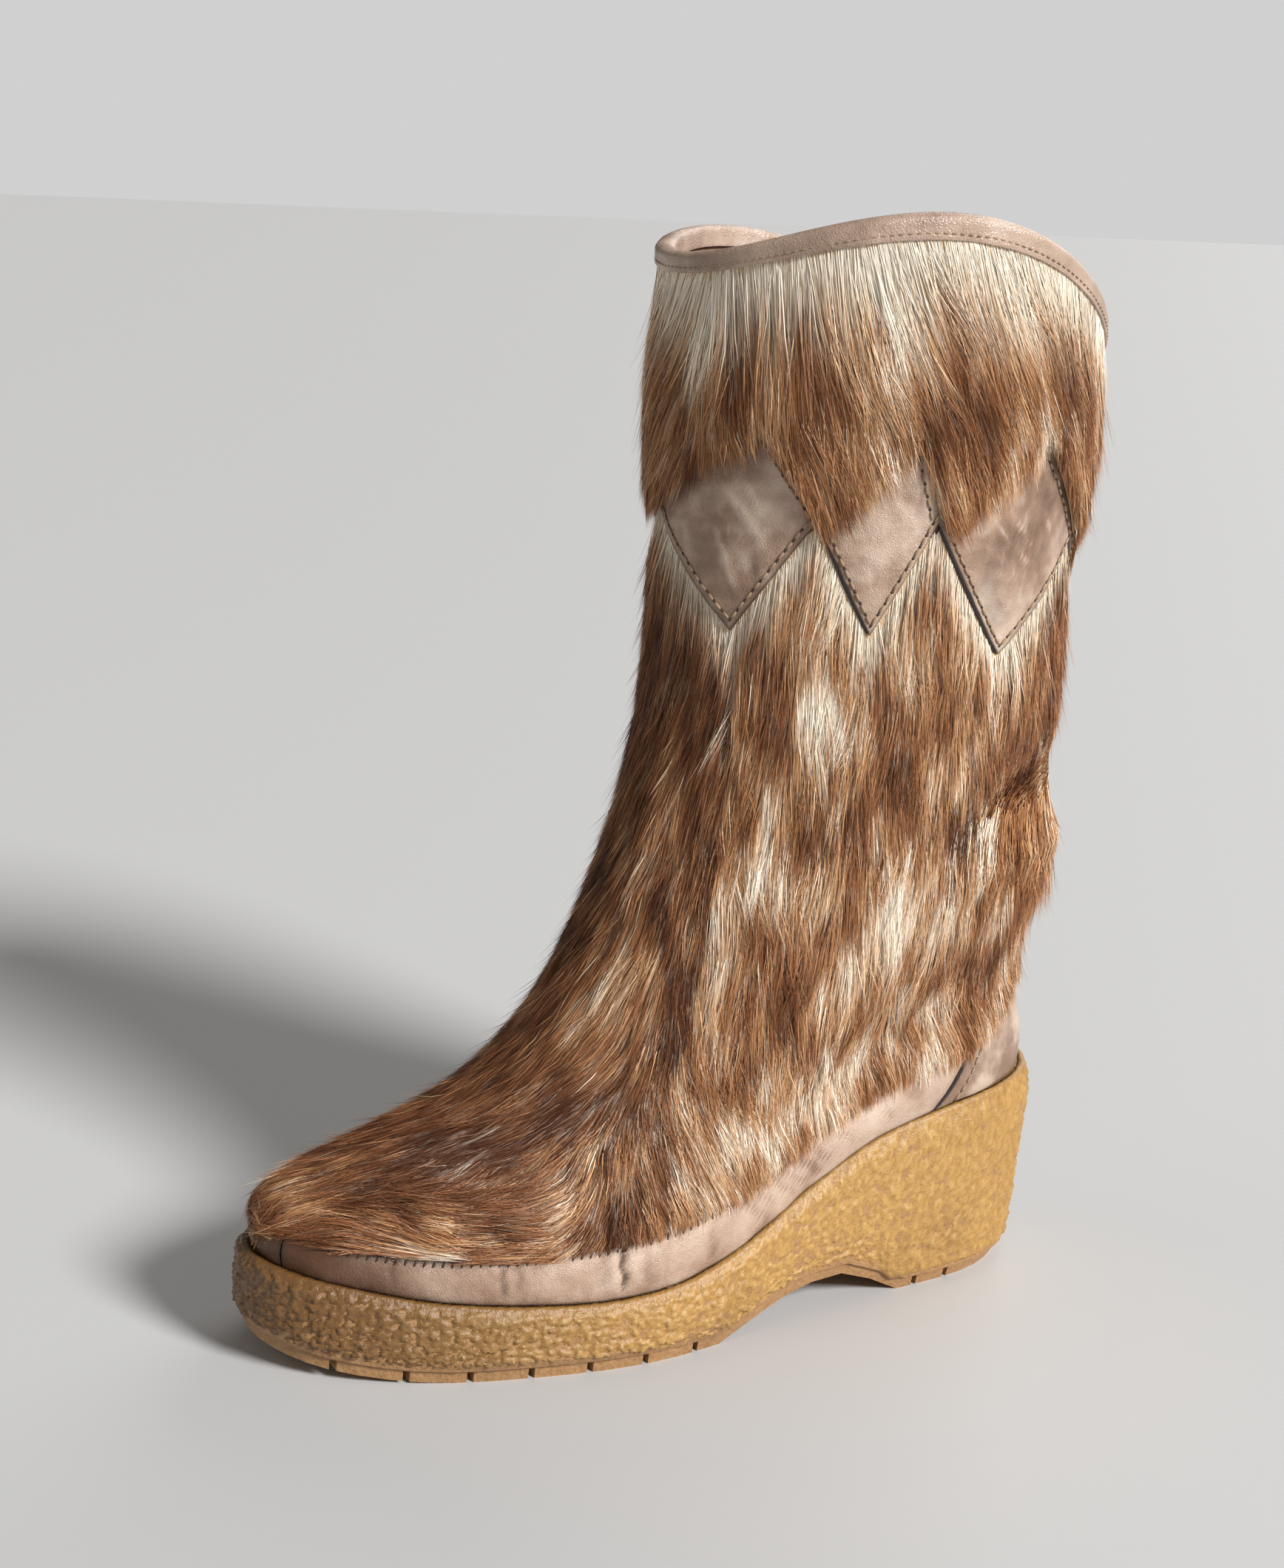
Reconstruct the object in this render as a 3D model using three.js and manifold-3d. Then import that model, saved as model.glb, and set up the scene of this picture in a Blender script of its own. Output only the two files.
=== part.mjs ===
// Left apres-ski boot: hair-on hide over a hollow upper, leather rand, counter, pointed band and
// collar binding, on a moulded crepe wedge sole. Millimetres, +Z up, toe towards -Y, outer side at +X.
// The origin lies on the floor, under the middle of the boot.
import * as THREE from 'three';
import { mergeVertices } from 'three/addons/utils/BufferGeometryUtils.js';
import Module from 'manifold-3d';

const wasm = await Module();
wasm.setup();

// Driving dimensions
const SOLE_LENGTH = 271;
const TOE_Y = -135.6;
const WALL = 2.2;
const GAP = 0.35;
const SEAT_GAP = 0.45;
const LEATHER = 1.5;
const HAIR_BASE = 3.4;
const COLUMNS = 40;

// Half-widths of the sole along its length, as a share of an ellipse's, outer and inner side
const SOLE_OUTLINE = [
  { along: 0.0, outer: 62.0, inner: 60.0 },
  { along: 0.1, outer: 56.0, inner: 52.0 },
  { along: 0.25, outer: 54.0, inner: 47.5 },
  { along: 0.4, outer: 53.0, inner: 41.5 },
  { along: 0.5, outer: 48.5, inner: 37.0 },
  { along: 0.62, outer: 41.0, inner: 34.2 },
  { along: 0.72, outer: 40.8, inner: 36.0 },
  { along: 0.82, outer: 45.5, inner: 43.5 },
  { along: 0.92, outer: 53.0, inner: 53.0 },
  { along: 1.0, outer: 58.0, inner: 58.0 },
];
const TOE_SWING = 5;

// Height of the seat, where upper meets sole, by distance from the toe tip
const SEAT = [
  { from_toe: 0, height: 33.0 },
  { from_toe: 20, height: 29.8 },
  { from_toe: 45, height: 25.0 },
  { from_toe: 80, height: 21.8 },
  { from_toe: 105, height: 21.8 },
  { from_toe: 125, height: 24.5 },
  { from_toe: 150, height: 32.6 },
  { from_toe: 175, height: 44.8 },
  { from_toe: 195, height: 54.0 },
  { from_toe: 220, height: 60.3 },
  { from_toe: 245, height: 63.6 },
  { from_toe: 271, height: 65.5 },
];

// Sections of the last, from the seat to the collar. front and back are distances from the toe tip.
// foot is the share of the sole's outline in the section, and the rest is an ellipse of that half-width.
const SECTIONS = [
  {
    name: 'seat', front: 6.0, back: 264.0, foot: 1, girth: 0.895, half: 44,
    z_front: 32.6, z_back: 65.5, sag: 1, rise: 0, rise_inner: 0,
  },
  {
    name: 'rand', front: 5.5, back: 264.8, foot: 1, girth: 0.92, half: 44,
    z_front: 38.5, z_back: 73.0, sag: 1, rise: 0, rise_inner: 0,
  },
  {
    name: 'rand_top', front: 8.5, back: 263.5, foot: 1, girth: 0.9, half: 44,
    z_front: 44.0, z_back: 81.0, sag: 0.95, rise: 0, rise_inner: 0,
  },
  {
    name: 'toe_top', front: 18.0, back: 261.5, foot: 1, girth: 0.85, half: 44,
    z_front: 48.5, z_back: 89.0, sag: 0.75, rise: 0, rise_inner: 0,
  },
  {
    name: 'vamp', front: 38.5, back: 260.0, foot: 0.85, girth: 0.79, half: 43,
    z_front: 55.5, z_back: 98.0, sag: 0.5, rise: 0, rise_inner: 0,
  },
  {
    name: 'throat', front: 63.5, back: 260.0, foot: 0.6, girth: 0.77, half: 43,
    z_front: 65.5, z_back: 108.0, sag: 0.3, rise: 0, rise_inner: 0,
  },
  {
    name: 'instep', front: 86.5, back: 262.0, foot: 0.35, girth: 0.8, half: 44,
    z_front: 83.0, z_back: 120.0, sag: 0.12, rise: 0, rise_inner: 0,
  },
  {
    name: 'bend', front: 105.0, back: 266.0, foot: 0.15, girth: 0.85, half: 46,
    z_front: 111.0, z_back: 134.0, sag: 0, rise: 0, rise_inner: 0,
  },
  {
    name: 'ankle', front: 119.5, back: 266.5, foot: 0, girth: 1, half: 48,
    z_front: 146.0, z_back: 152.0, sag: 0, rise: 0, rise_inner: 0,
  },
  {
    name: 'calf', front: 129.5, back: 262.5, foot: 0, girth: 1, half: 51,
    z_front: 185.0, z_back: 186.0, sag: 0, rise: 0, rise_inner: 0,
  },
  {
    name: 'band', front: 132.0, back: 261.0, foot: 0, girth: 1, half: 54,
    z_front: 230.0, z_back: 222.0, sag: 0, rise: 2, rise_inner: 2,
  },
  {
    name: 'cuff', front: 131.5, back: 263.0, foot: 0, girth: 1, half: 58,
    z_front: 278.0, z_back: 262.0, sag: 0, rise: 9, rise_inner: 7,
  },
  {
    name: 'collar', front: 129.5, back: 266.5, foot: 0, girth: 1, half: 62.5,
    z_front: 322.0, z_back: 295.0, sag: 0, rise: 26, rise_inner: 18,
  },
];
const TOP = SECTIONS.length - 1;
const SIZES = Object.keys(SECTIONS[0]).filter((key) => key !== 'name');

const mix = (a, b, share) => a + (b - a) * share;
const within = (low, high, value) => Math.min(high, Math.max(low, value));

// A smooth curve through four neighbouring values
function smooth(a, b, c, d, s) {
  return b + 0.5 * s * (c - a + s * (2 * a - 5 * b + 4 * c - d + s * (3 * (b - c) + d - a)));
}

// A column of a table, read smoothly at a place on another column
function readTable(table, key, column, at) {
  let i = 0;
  while (i < table.length - 2 && table[i + 1][key] < at) i += 1;
  const low = table[i];
  const high = table[i + 1];
  const before = table[Math.max(0, i - 1)];
  const after = table[Math.min(table.length - 1, i + 2)];
  const s = within(0, 1, (at - low[key]) / (high[key] - low[key]));
  const slope = (p, q) => (q[column] - p[column]) / (q[key] - p[key]) * (high[key] - low[key]);
  const m0 = before === low ? slope(low, high) : slope(before, high);
  const m1 = after === high ? slope(low, high) : slope(low, after);
  const s2 = s * s;
  const s3 = s2 * s;
  return (2 * s3 - 3 * s2 + 1) * low[column] + (s3 - 2 * s2 + s) * m0
    + (3 * s2 - 2 * s3) * high[column] + (s3 - s2) * m1;
}

const seatHeight = (fromToe) => readTable(SEAT, 'from_toe', 'height', within(0, SOLE_LENGTH, fromToe));
const soleHalf = (along, side) => readTable(SOLE_OUTLINE, 'along', side, along);
const toeSwing = (along) => -TOE_SWING * (1 - along) ** 2;

// One section of the last at any height, blended from its neighbours in the table
function sectionAt(v) {
  const i = within(0, TOP - 1, Math.floor(v));
  const rows = [i - 1, i, i + 1, i + 2].map((k) => SECTIONS[within(0, TOP, k)]);
  return Object.fromEntries(SIZES.map((key) => [key, smooth(...rows.map((row) => row[key]), v - i)]));
}

// A point of the last: u runs round from the toe by the outer side, v up from the seat to the collar
function lastPoint(u, v) {
  const s = sectionAt(v);
  const along = (1 - Math.cos(u)) / 2;
  const fromToe = mix(s.front, s.back, along);
  const side = Math.sin(u) >= 0 ? 'outer' : 'inner';
  const half = mix(s.half, soleHalf(along, side) * s.girth, s.foot);
  const chord = mix(seatHeight(s.front), seatHeight(s.back), along);
  const rise = (side === 'outer' ? s.rise : s.rise_inner) * Math.sin(u) ** 2;
  const z = mix(s.z_front, s.z_back, along) + s.sag * (seatHeight(fromToe) - chord) + rise;
  return new THREE.Vector3(toeSwing(along) * s.foot + Math.sin(u) * half, TOE_Y + fromToe, z);
}

// The last's outward direction, from its slope round and up over a small step
const STEP = 1e-3;
function lastNormal(u, v) {
  const low = Math.max(0, v - STEP);
  const high = Math.min(TOP, v + STEP);
  const round = lastPoint(u + STEP, v).sub(lastPoint(u - STEP, v));
  const up = lastPoint(u, high).sub(lastPoint(u, low));
  return round.cross(up).normalize();
}

const offsetPoint = (u, v, out) => lastPoint(u, v).addScaledVector(lastNormal(u, v), out);

// A closed mesh from its corners and faces of three or four corners
function closedGeometry(corners, faces) {
  const index = [];
  for (const f of faces) {
    index.push(f[0], f[1], f[2]);
    if (f.length === 4) index.push(f[0], f[2], f[3]);
  }
  const made = new THREE.BufferGeometry();
  const places = corners.flatMap((p) => [p.x, p.y, p.z]);
  made.setAttribute('position', new THREE.Float32BufferAttribute(places, 3));
  made.setIndex(index);
  return made;
}

// A shell over part of the last, from one offset to another. Columns run round it, and turn gives a column's
// place u at a height v. Steps are shares of the way up each column, from its low edge to its high edge.
function shellOver({ columns, turn = (w) => w, low, high, steps, inside, outside, ring = false }) {
  const corners = [];
  const rows = steps.length - 1;
  const at = (i, j, face) => ((i % columns.length) * (rows + 1) + j) * 2 + face;
  for (const w of columns) {
    for (const step of steps) {
      const v = mix(low(w), high(w), step);
      const u = turn(w, v);
      corners.push(offsetPoint(u, v, inside(u, v, w)), offsetPoint(u, v, outside(u, v, w)));
    }
  }
  const faces = [];
  const spans = ring ? columns.length : columns.length - 1;
  for (let i = 0; i < spans; i += 1) {
    for (let j = 0; j < rows; j += 1) {
      faces.push([at(i, j, 1), at(i + 1, j, 1), at(i + 1, j + 1, 1), at(i, j + 1, 1)]);
      faces.push([at(i, j, 0), at(i, j + 1, 0), at(i + 1, j + 1, 0), at(i + 1, j, 0)]);
    }
    faces.push([at(i, 0, 0), at(i + 1, 0, 0), at(i + 1, 0, 1), at(i, 0, 1)]);
    faces.push([at(i, rows, 1), at(i + 1, rows, 1), at(i + 1, rows, 0), at(i, rows, 0)]);
  }
  if (!ring) {
    const end = columns.length - 1;
    for (let j = 0; j < rows; j += 1) {
      faces.push([at(0, j, 0), at(0, j, 1), at(0, j + 1, 1), at(0, j + 1, 0)]);
      faces.push([at(end, j, 1), at(end, j, 0), at(end, j + 1, 0), at(end, j + 1, 1)]);
    }
  }
  return closedGeometry(corners, faces);
}

const evenColumns = (from, to, count) => Array.from({ length: count + 1 }, (_, i) => mix(from, to, i / count));
const ringColumns = (count) => evenColumns(0, 2 * Math.PI, count).slice(0, -1);

// A solid for joining and cutting, and back
const MERGED_WITHIN = 1e-4;
function solidOf(geometry) {
  const bare = geometry.clone();
  bare.deleteAttribute('normal');
  bare.deleteAttribute('uv');
  const merged = mergeVertices(bare, MERGED_WITHIN);
  return new wasm.Manifold(new wasm.Mesh({
    numProp: 3,
    vertProperties: merged.attributes.position.array,
    triVerts: new Uint32Array(merged.index.array),
  }));
}

// Slivers that a cut leaves are merged away within this much
const SMOOTHING = 0.15;

function geometryOf(solid, smoothing = SMOOTHING) {
  const mesh = solid.asOriginal().simplify(smoothing).getMesh();
  const made = new THREE.BufferGeometry();
  made.setAttribute('position', new THREE.BufferAttribute(new Float32Array(mesh.vertProperties), 3));
  made.setIndex(new THREE.BufferAttribute(new Uint32Array(mesh.triVerts), 1));
  return made;
}

// Sole: rings of its outline from the tread up to the seat
const TREAD_DEPTH = 4;
const SOLE_COLUMNS = 64;
// How sharply the wall's inset at the heel sets in towards the back
const HEEL_BOW = 4;
const GROUND = [
  { from_toe: 0, height: 8.0 },
  { from_toe: 18, height: 3.6 },
  { from_toe: 40, height: 0.6 },
  { from_toe: 52, height: 0 },
  { from_toe: 138, height: 0 },
  { from_toe: 141, height: 1.5 },
  { from_toe: 155, height: 6.0 },
  { from_toe: 175, height: 9.6 },
  { from_toe: 188, height: 9.4 },
  { from_toe: 198, height: 5.0 },
  { from_toe: 205, height: 0 },
  { from_toe: 271, height: 0 },
];
const SOLE_RINGS = [
  { name: 'tread_face', share: 0, lift: 0, inset: 2.6, heel_inset: 8.0 },
  { name: 'tread_top', share: 0, lift: TREAD_DEPTH, inset: 2.0, heel_inset: 6.0 },
  { name: 'crepe_foot', share: 0, lift: TREAD_DEPTH + 0.2, inset: 0.8, heel_inset: 4.6 },
  { name: 'crepe_low', share: 0.3, lift: 0, inset: -0.4, heel_inset: 3.0 },
  { name: 'crepe_mid', share: 0.6, lift: 0, inset: -0.4, heel_inset: 1.4 },
  { name: 'crepe_high', share: 0.88, lift: 0, inset: 0.2, heel_inset: 0.2 },
  { name: 'seat_edge', share: 1, lift: 0, inset: 2.0, heel_inset: 2.0 },
];

const groundHeight = (fromToe) => Math.max(0, readTable(GROUND, 'from_toe', 'height', fromToe));

function solePoint(u, ring) {
  const along = (1 - Math.cos(u)) / 2;
  const inset = mix(ring.inset, ring.heel_inset, along ** HEEL_BOW);
  const fromToe = mix(ring.inset, SOLE_LENGTH - inset, along);
  const half = soleHalf(along, Math.sin(u) >= 0 ? 'outer' : 'inner') - inset;
  const ground = groundHeight(fromToe);
  const z = mix(ground, seatHeight(fromToe), ring.share) + ring.lift;
  return new THREE.Vector3(toeSwing(along) + Math.sin(u) * half, TOE_Y + fromToe, z);
}

// A body of stacked rings, closed by strips across its lowest and highest ring
function stackedRings(rings) {
  const count = rings[0].length;
  const top = rings.length - 1;
  const at = (i, j) => j * count + ((i + count) % count);
  const faces = [];
  for (let i = 0; i < count; i += 1) {
    for (let j = 0; j < top; j += 1) {
      faces.push([at(i, j), at(i + 1, j), at(i + 1, j + 1), at(i, j + 1)]);
    }
  }
  for (let i = 0; i < count / 2; i += 1) {
    faces.push([at(i, 0), at(-i, 0), at(-i - 1, 0), at(i + 1, 0)]);
    faces.push([at(i, top), at(i + 1, top), at(-i - 1, top), at(-i, top)]);
  }
  return closedGeometry(rings.flat(), faces.map((f) => f.filter((c, k) => f.indexOf(c) === k)));
}

// Grooves between the lugs, by distance from the toe tip
const GROOVE_LENGTH = 120;
const GROOVE_WIDTH = 1.9;
const GROOVE_DEPTH = 3.4;
const GROOVES = [19, 38, 55.6, 73.2, 90.8, 108.4, 126, 214.5, 227.5];

function soleBody() {
  const columns = ringColumns(SOLE_COLUMNS);
  let solid = solidOf(stackedRings(SOLE_RINGS.map((ring) => columns.map((u) => solePoint(u, ring)))));
  for (const fromToe of GROOVES) {
    const groove = new THREE.BoxGeometry(GROOVE_LENGTH, GROOVE_WIDTH, 2 * GROOVE_DEPTH);
    groove.translate(0, TOE_Y + fromToe, groundHeight(fromToe));
    solid = solid.subtract(solidOf(groove));
  }
  return geometryOf(solid);
}

// Insole: a thin board on the seat, just inside the upper's wall
const INSOLE = 2.6;
const INSOLE_CLEAR = 1;
const INSOLE_COLUMNS = 60;
function insoleBody() {
  const ring = (lift) => ringColumns(INSOLE_COLUMNS).map((u) => {
    const p = offsetPoint(u, 0, -WALL - INSOLE_CLEAR);
    p.z = seatHeight(p.y - TOE_Y) + SEAT_GAP + lift;
    return p;
  });
  return stackedRings([ring(0), ring(INSOLE)]);
}

// Edges on the last. Angles are in degrees round from the toe by the outer side, heights in sections.
const DEGREE = Math.PI / 180;
const wrapped = (u) => ((u / DEGREE + 540) % 360) - 180;
const straight = (table, key, column, at) => {
  let i = 0;
  while (i < table.length - 2 && table[i + 1][key] < at) i += 1;
  const share = (at - table[i][key]) / (table[i + 1][key] - table[i][key]);
  return mix(table[i][column], table[i + 1][column], within(0, 1, share));
};

// The band's lower edge: level on the inner side and at the back, three points on the outer side
const BAND_EDGE = [
  { angle: -180, height: 10.2 },
  { angle: -32, height: 10.2 },
  { angle: -14, height: 10.42 },
  { angle: 26.5, height: 9.72 },
  { angle: 49, height: 10.43 },
  { angle: 65.5, height: 9.77 },
  { angle: 80.3, height: 10.46 },
  { angle: 104, height: 9.65 },
  { angle: 138.5, height: 10.46 },
  { angle: 155, height: 10.2 },
  { angle: 180, height: 10.2 },
];
// The cuff's lower edge: its points hang between the band's
const CUFF_EDGE = [
  { angle: -180, height: 10.46 },
  { angle: -14, height: 10.46 },
  { angle: 32, height: 10.95 },
  { angle: 49, height: 10.47 },
  { angle: 72.5, height: 10.98 },
  { angle: 80.3, height: 10.5 },
  { angle: 109, height: 11.05 },
  { angle: 138.5, height: 10.5 },
  { angle: 155, height: 10.46 },
  { angle: 180, height: 10.46 },
];
const RAND_EDGE = [
  { angle: 0, height: 1.75 },
  { angle: 30, height: 1.7 },
  { angle: 58, height: 2.0 },
  { angle: 80, height: 2.25 },
  { angle: 95, height: 2.25 },
  { angle: 112, height: 2.1 },
  { angle: 180, height: 2.1 },
];
// The seam between the front hide and the hide round the back, the same on both sides
const SIDE_SEAM = [
  { height: 1.5, angle: 82 },
  { height: 2.6, angle: 79 },
  { height: 3.4, angle: 76 },
  { height: 5.5, angle: 58 },
  { height: 6.5, angle: 47.5 },
  { height: 7.4, angle: 41 },
  { height: 8.4, angle: 34.5 },
  { height: 9.2, angle: 30 },
  { height: 10.6, angle: 27 },
];
const COUNTER_FRONT = { at_seat: 51.5, lean: 4.3 };
const COUNTER_EDGE = { at_front: 2.15, at_back: 4.5, bow: 1.3 };

const bandEdge = (u) => straight(BAND_EDGE, 'angle', 'height', wrapped(u));
const cuffEdge = (u) => straight(CUFF_EDGE, 'angle', 'height', wrapped(u));
const randEdge = (u) => readTable(RAND_EDGE, 'angle', 'height', Math.abs(wrapped(u)));
const seamAngle = (v) => readTable(SIDE_SEAM, 'height', 'angle', v) * DEGREE;
const counterHalf = (v) => (COUNTER_FRONT.at_seat - COUNTER_FRONT.lean * v) * DEGREE;
const counterEdge = (w) => mix(COUNTER_EDGE.at_back, COUNTER_EDGE.at_front, Math.abs(w) ** COUNTER_EDGE.bow);

// Upper edge of all the leather above the sole, at any place
function leatherEdge(u) {
  const fromBack = Math.PI - Math.abs(wrapped(u)) * DEGREE;
  const w = fromBack / counterHalf(COUNTER_EDGE.at_front);
  return w < 1 ? Math.max(randEdge(u), counterEdge(w)) : randEdge(u);
}

// The height where a leaning column meets an edge, found in damped steps from a height near it
const MEET_STEPS = 12;
const MEET_SHARE = 0.7;
function meets(edge, turn, w, start) {
  let v = start;
  for (let k = 0; k < MEET_STEPS; k += 1) {
    v = mix(v, edge(turn(w, v)), MEET_SHARE);
  }
  return v;
}

// Filled forms of the last. What lies over the upper is cut by the one that stands just clear of it.
const FORM_ROWS = [0, 0.5, 1, 1.5, 2, 2.5, 3, 4, 5, 5.5, 6, 6.5, 7, 7.5, 8, 9, 10, 11.5, 12];
const CAVITY_ROWS = [0, 1.5, 3, 5, 6, 6.5, 7, 7.5, 8, 9, 10.5, 11.5, 12];
const CAVITY_COLUMNS = 40;
const SUNK = 0.8;
const HAIR_CLEAR = 0.15;
const PAST_COLLAR = 40;
function filledForm(rows, count, out, past) {
  const rings = rows.map((v) => ringColumns(count).map((u) => offsetPoint(u, v, out)));
  const shifted = (ring, dz) => ring.map((p) => p.clone().setZ(p.z + dz));
  if (past > 0) {
    rings.unshift(shifted(rings[0], -past));
    rings.push(shifted(rings[rings.length - 1], past));
  }
  return solidOf(stackedRings(rings));
}
const clearForm = filledForm(FORM_ROWS, COLUMNS, GAP, 0);
const hairForm = filledForm(FORM_ROWS, COLUMNS, GAP + HAIR_CLEAR, 0);
const overUpper = (geometry, form = clearForm) => solidOf(geometry).subtract(form);

function upperBody() {
  const cavity = filledForm(CAVITY_ROWS, CAVITY_COLUMNS, -WALL, PAST_COLLAR);
  return geometryOf(filledForm(FORM_ROWS, COLUMNS, 0, 0).subtract(cavity));
}

// Leather strips over the upper
const ENDS = 0.25 * DEGREE;
const TOE_SEAM = 13.5 * DEGREE;
const LEATHER_LOW = 0.12;
const NEAR_RAND = 2;
const leather = { low: () => LEATHER_LOW, inside: () => -SUNK, outside: () => GAP + LEATHER };

function randBody(side) {
  const end = (v) => Math.PI - counterHalf(v) - 2 * ENDS;
  const outer = (w, v) => mix(TOE_SEAM + ENDS, end(v), w);
  const inner = (w, v) => mix(-end(v), TOE_SEAM - ENDS, w);
  const turn = side > 0 ? outer : inner;
  return geometryOf(overUpper(shellOver({
    columns: evenColumns(0, 1, 22),
    turn,
    high: (w) => meets(randEdge, turn, w, NEAR_RAND),
    steps: evenColumns(0, 1, 3),
    ...leather,
  })));
}

function counterBody() {
  return geometryOf(overUpper(shellOver({
    columns: evenColumns(-1, 1, 14),
    turn: (w, v) => Math.PI + w * counterHalf(Math.min(v, COUNTER_EDGE.at_back)),
    high: counterEdge,
    steps: evenColumns(0, 1, 5),
    ...leather,
  })));
}

// Columns all round, with one at every corner of the pointed edges, in degrees until the end
const CORNER_CLEAR = 3.5;
const SAME_CORNER = 0.1;
function pointedColumns(count) {
  const corners = [...BAND_EDGE, ...CUFF_EDGE].map((row) => row.angle);
  const isFree = (angle) => corners.every((corner) => Math.abs(corner - angle) > CORNER_CLEAR);
  const even = ringColumns(count).map((u) => wrapped(u)).filter(isFree);
  const all = [...even, ...corners].filter((a) => a > -180).sort((a, b) => a - b);
  return all.filter((a, i) => i === 0 || a - all[i - 1] > SAME_CORNER).map((a) => a * DEGREE);
}

const BAND_TOP = 11.25;
const BINDING_EDGE = 11.85;
// About how tall a section is at the band, in millimetres
const BAND_SECTION = 30;
const bandShell = (clear) => shellOver({
  columns: pointedColumns(32),
  low: (u) => bandEdge(u) - clear / BAND_SECTION,
  high: () => BAND_TOP + clear / BAND_SECTION,
  steps: evenColumns(0, 1, 3),
  ring: true,
  inside: () => -SUNK,
  outside: () => GAP + LEATHER + clear,
});
const bandBody = () => geometryOf(overUpper(bandShell(0)));
const clearBand = solidOf(bandShell(GAP));

// Binding folded over the collar's edge, down both faces of the wall
const BINDING_ROUND = { shoulder: 0.2, crown: 0.1, inner: 0.4 };
const BELOW = 4;
function bindingBody() {
  const skin = GAP + LEATHER;
  const bored = -WALL - BINDING_ROUND.inner * skin;
  const ring = (v, out, up) => ringColumns(COLUMNS).map((u) => {
    const p = offsetPoint(u, v, out);
    return p.setZ(p.z + up);
  });
  const skinBlock = [
    ring(BINDING_EDGE, skin, 0),
    ring(TOP, skin, BINDING_ROUND.shoulder),
    ring(TOP, BINDING_ROUND.crown, skin),
  ];
  const skinBore = [
    ring(BINDING_EDGE, -WALL - skin, -BELOW),
    ring(TOP, -WALL - skin, 0),
    ring(TOP, bored, skin + 1),
    ring(TOP, bored, PAST_COLLAR),
  ];
  const wallBlock = [ring(BINDING_EDGE, GAP, -BELOW), ring(BINDING_EDGE, GAP, 0), ring(TOP, GAP, GAP)];
  const wallBore = [
    ring(BINDING_EDGE, -WALL - GAP, -2 * BELOW),
    ring(BINDING_EDGE, -WALL - GAP, 0),
    ring(TOP, -WALL - GAP, 0),
    ring(TOP, -WALL - GAP, PAST_COLLAR),
  ];
  const blocks = [skinBlock, skinBore, wallBlock, wallBore];
  const [block, bore, wall, hollow] = blocks.map((rings) => solidOf(stackedRings(rings)));
  return geometryOf(block.subtract(bore).subtract(wall.subtract(hollow)));
}

// Locks of hair: flat tapering spindles that lie down the last, rooted in the hide's layer of hair
const LOCK = [
  { along: 0.0, lift: -1.2, width: 0.5, thick: 0.6 },
  { along: 0.45, lift: 0.5, width: 1.0, thick: 1.3 },
  { along: 1.0, lift: 0.4, width: 0.06, thick: 0.12 },
];
const LOCK_LOWEST = 0.3;
const DOWN_STEP = 0.2;
const ROUND_STEP = 0.02;
function lockSolid({ u, v, length, width, lean, layer, tip }) {
  const downPerSection = lastPoint(u, v).distanceTo(lastPoint(u, v - DOWN_STEP)) / DOWN_STEP;
  const roundPerTurn = lastPoint(u, v).distanceTo(lastPoint(u + ROUND_STEP, v)) / ROUND_STEP;
  const corners = [];
  for (const row of LOCK) {
    const run = length * row.along;
    const pv = Math.max(LOCK_LOWEST, v - (run * Math.cos(lean)) / downPerSection);
    const pu = u + (run * Math.sin(lean)) / roundPerTurn;
    const out = lastNormal(pu, pv);
    const round = lastPoint(pu + STEP, pv).sub(lastPoint(pu - STEP, pv)).normalize();
    const middle = lastPoint(pu, pv).addScaledVector(out, layer + row.lift + tip * row.along ** 3);
    corners.push(middle.clone().addScaledVector(round, -width * row.width));
    corners.push(middle.clone().addScaledVector(out, row.thick));
    corners.push(middle.clone().addScaledVector(round, width * row.width));
    corners.push(middle.clone().addScaledVector(out, -row.thick));
  }
  const faces = [[0, 1, 2, 3]];
  const end = 4 * (LOCK.length - 1);
  for (let k = 0; k < LOCK.length - 1; k += 1) {
    for (let j = 0; j < 4; j += 1) {
      const n = (j + 1) % 4;
      faces.push([4 * k + j, 4 * k + 4 + j, 4 * k + 4 + n, 4 * k + n]);
    }
  }
  faces.push([end + 3, end + 2, end + 1, end]);
  return solidOf(closedGeometry(corners, faces));
}

// An even scatter that comes out the same each time
const SCATTER_FACTOR = 16807;
const SCATTER_RANGE = 2147483647;
function scatter(seed) {
  let state = seed;
  return () => {
    state = (state * SCATTER_FACTOR) % SCATTER_RANGE;
    return state / SCATTER_RANGE;
  };
}

// Hair layer over part of the last, thin under its upper edge, with locks fused on
const EDGE_HAIR = 1.4;
const EDGE_FADE = 0.35;
// One lock in so many hangs over the lower edge
const HANGING = 3;
const LOCKS = {
  length: [19, 28],
  width: [3.4, 5.6],
  stray: [-0.125, 0.125],
  place: [0.3, 0.7],
  hang: [1, 1.3],
  tip_hanging: 1.6,
  tip_lying: 0.2,
};
const HAIR_SMOOTHING = 1.6 * SMOOTHING;
function hairBody({ shape, floor = () => 0, seed, locks, spread, lean, hang }) {
  const { turn, low, high } = shape;
  const thick = (w, v) => mix(EDGE_HAIR, HAIR_BASE, within(0, 1, (high(w) - v) / EDGE_FADE));
  const layer = shellOver({ ...shape, outside: (u, v, w) => floor(v) + thick(w, v) });
  let solid = overUpper(layer, hairForm).subtract(clearBand);
  const next = scatter(seed);
  const between = ([least, most]) => mix(least, most, next());
  for (let k = 0; k < locks; k += 1) {
    const w = mix(-spread, spread, (k + between(LOCKS.place)) / locks);
    const hanging = k % HANGING === 0;
    const v = hanging ? low(w) + hang * between(LOCKS.hang) : between([low(w) + 2 * hang, high(w) - EDGE_FADE]);
    solid = solid.add(lockSolid({
      u: turn(w, v),
      v,
      length: between(LOCKS.length),
      width: between(LOCKS.width),
      lean: lean + between(LOCKS.stray),
      layer: floor(v) + thick(w, v),
      tip: hanging ? LOCKS.tip_hanging : LOCKS.tip_lying,
    }));
  }
  return geometryOf(solid, HAIR_SMOOTHING);
}

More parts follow.
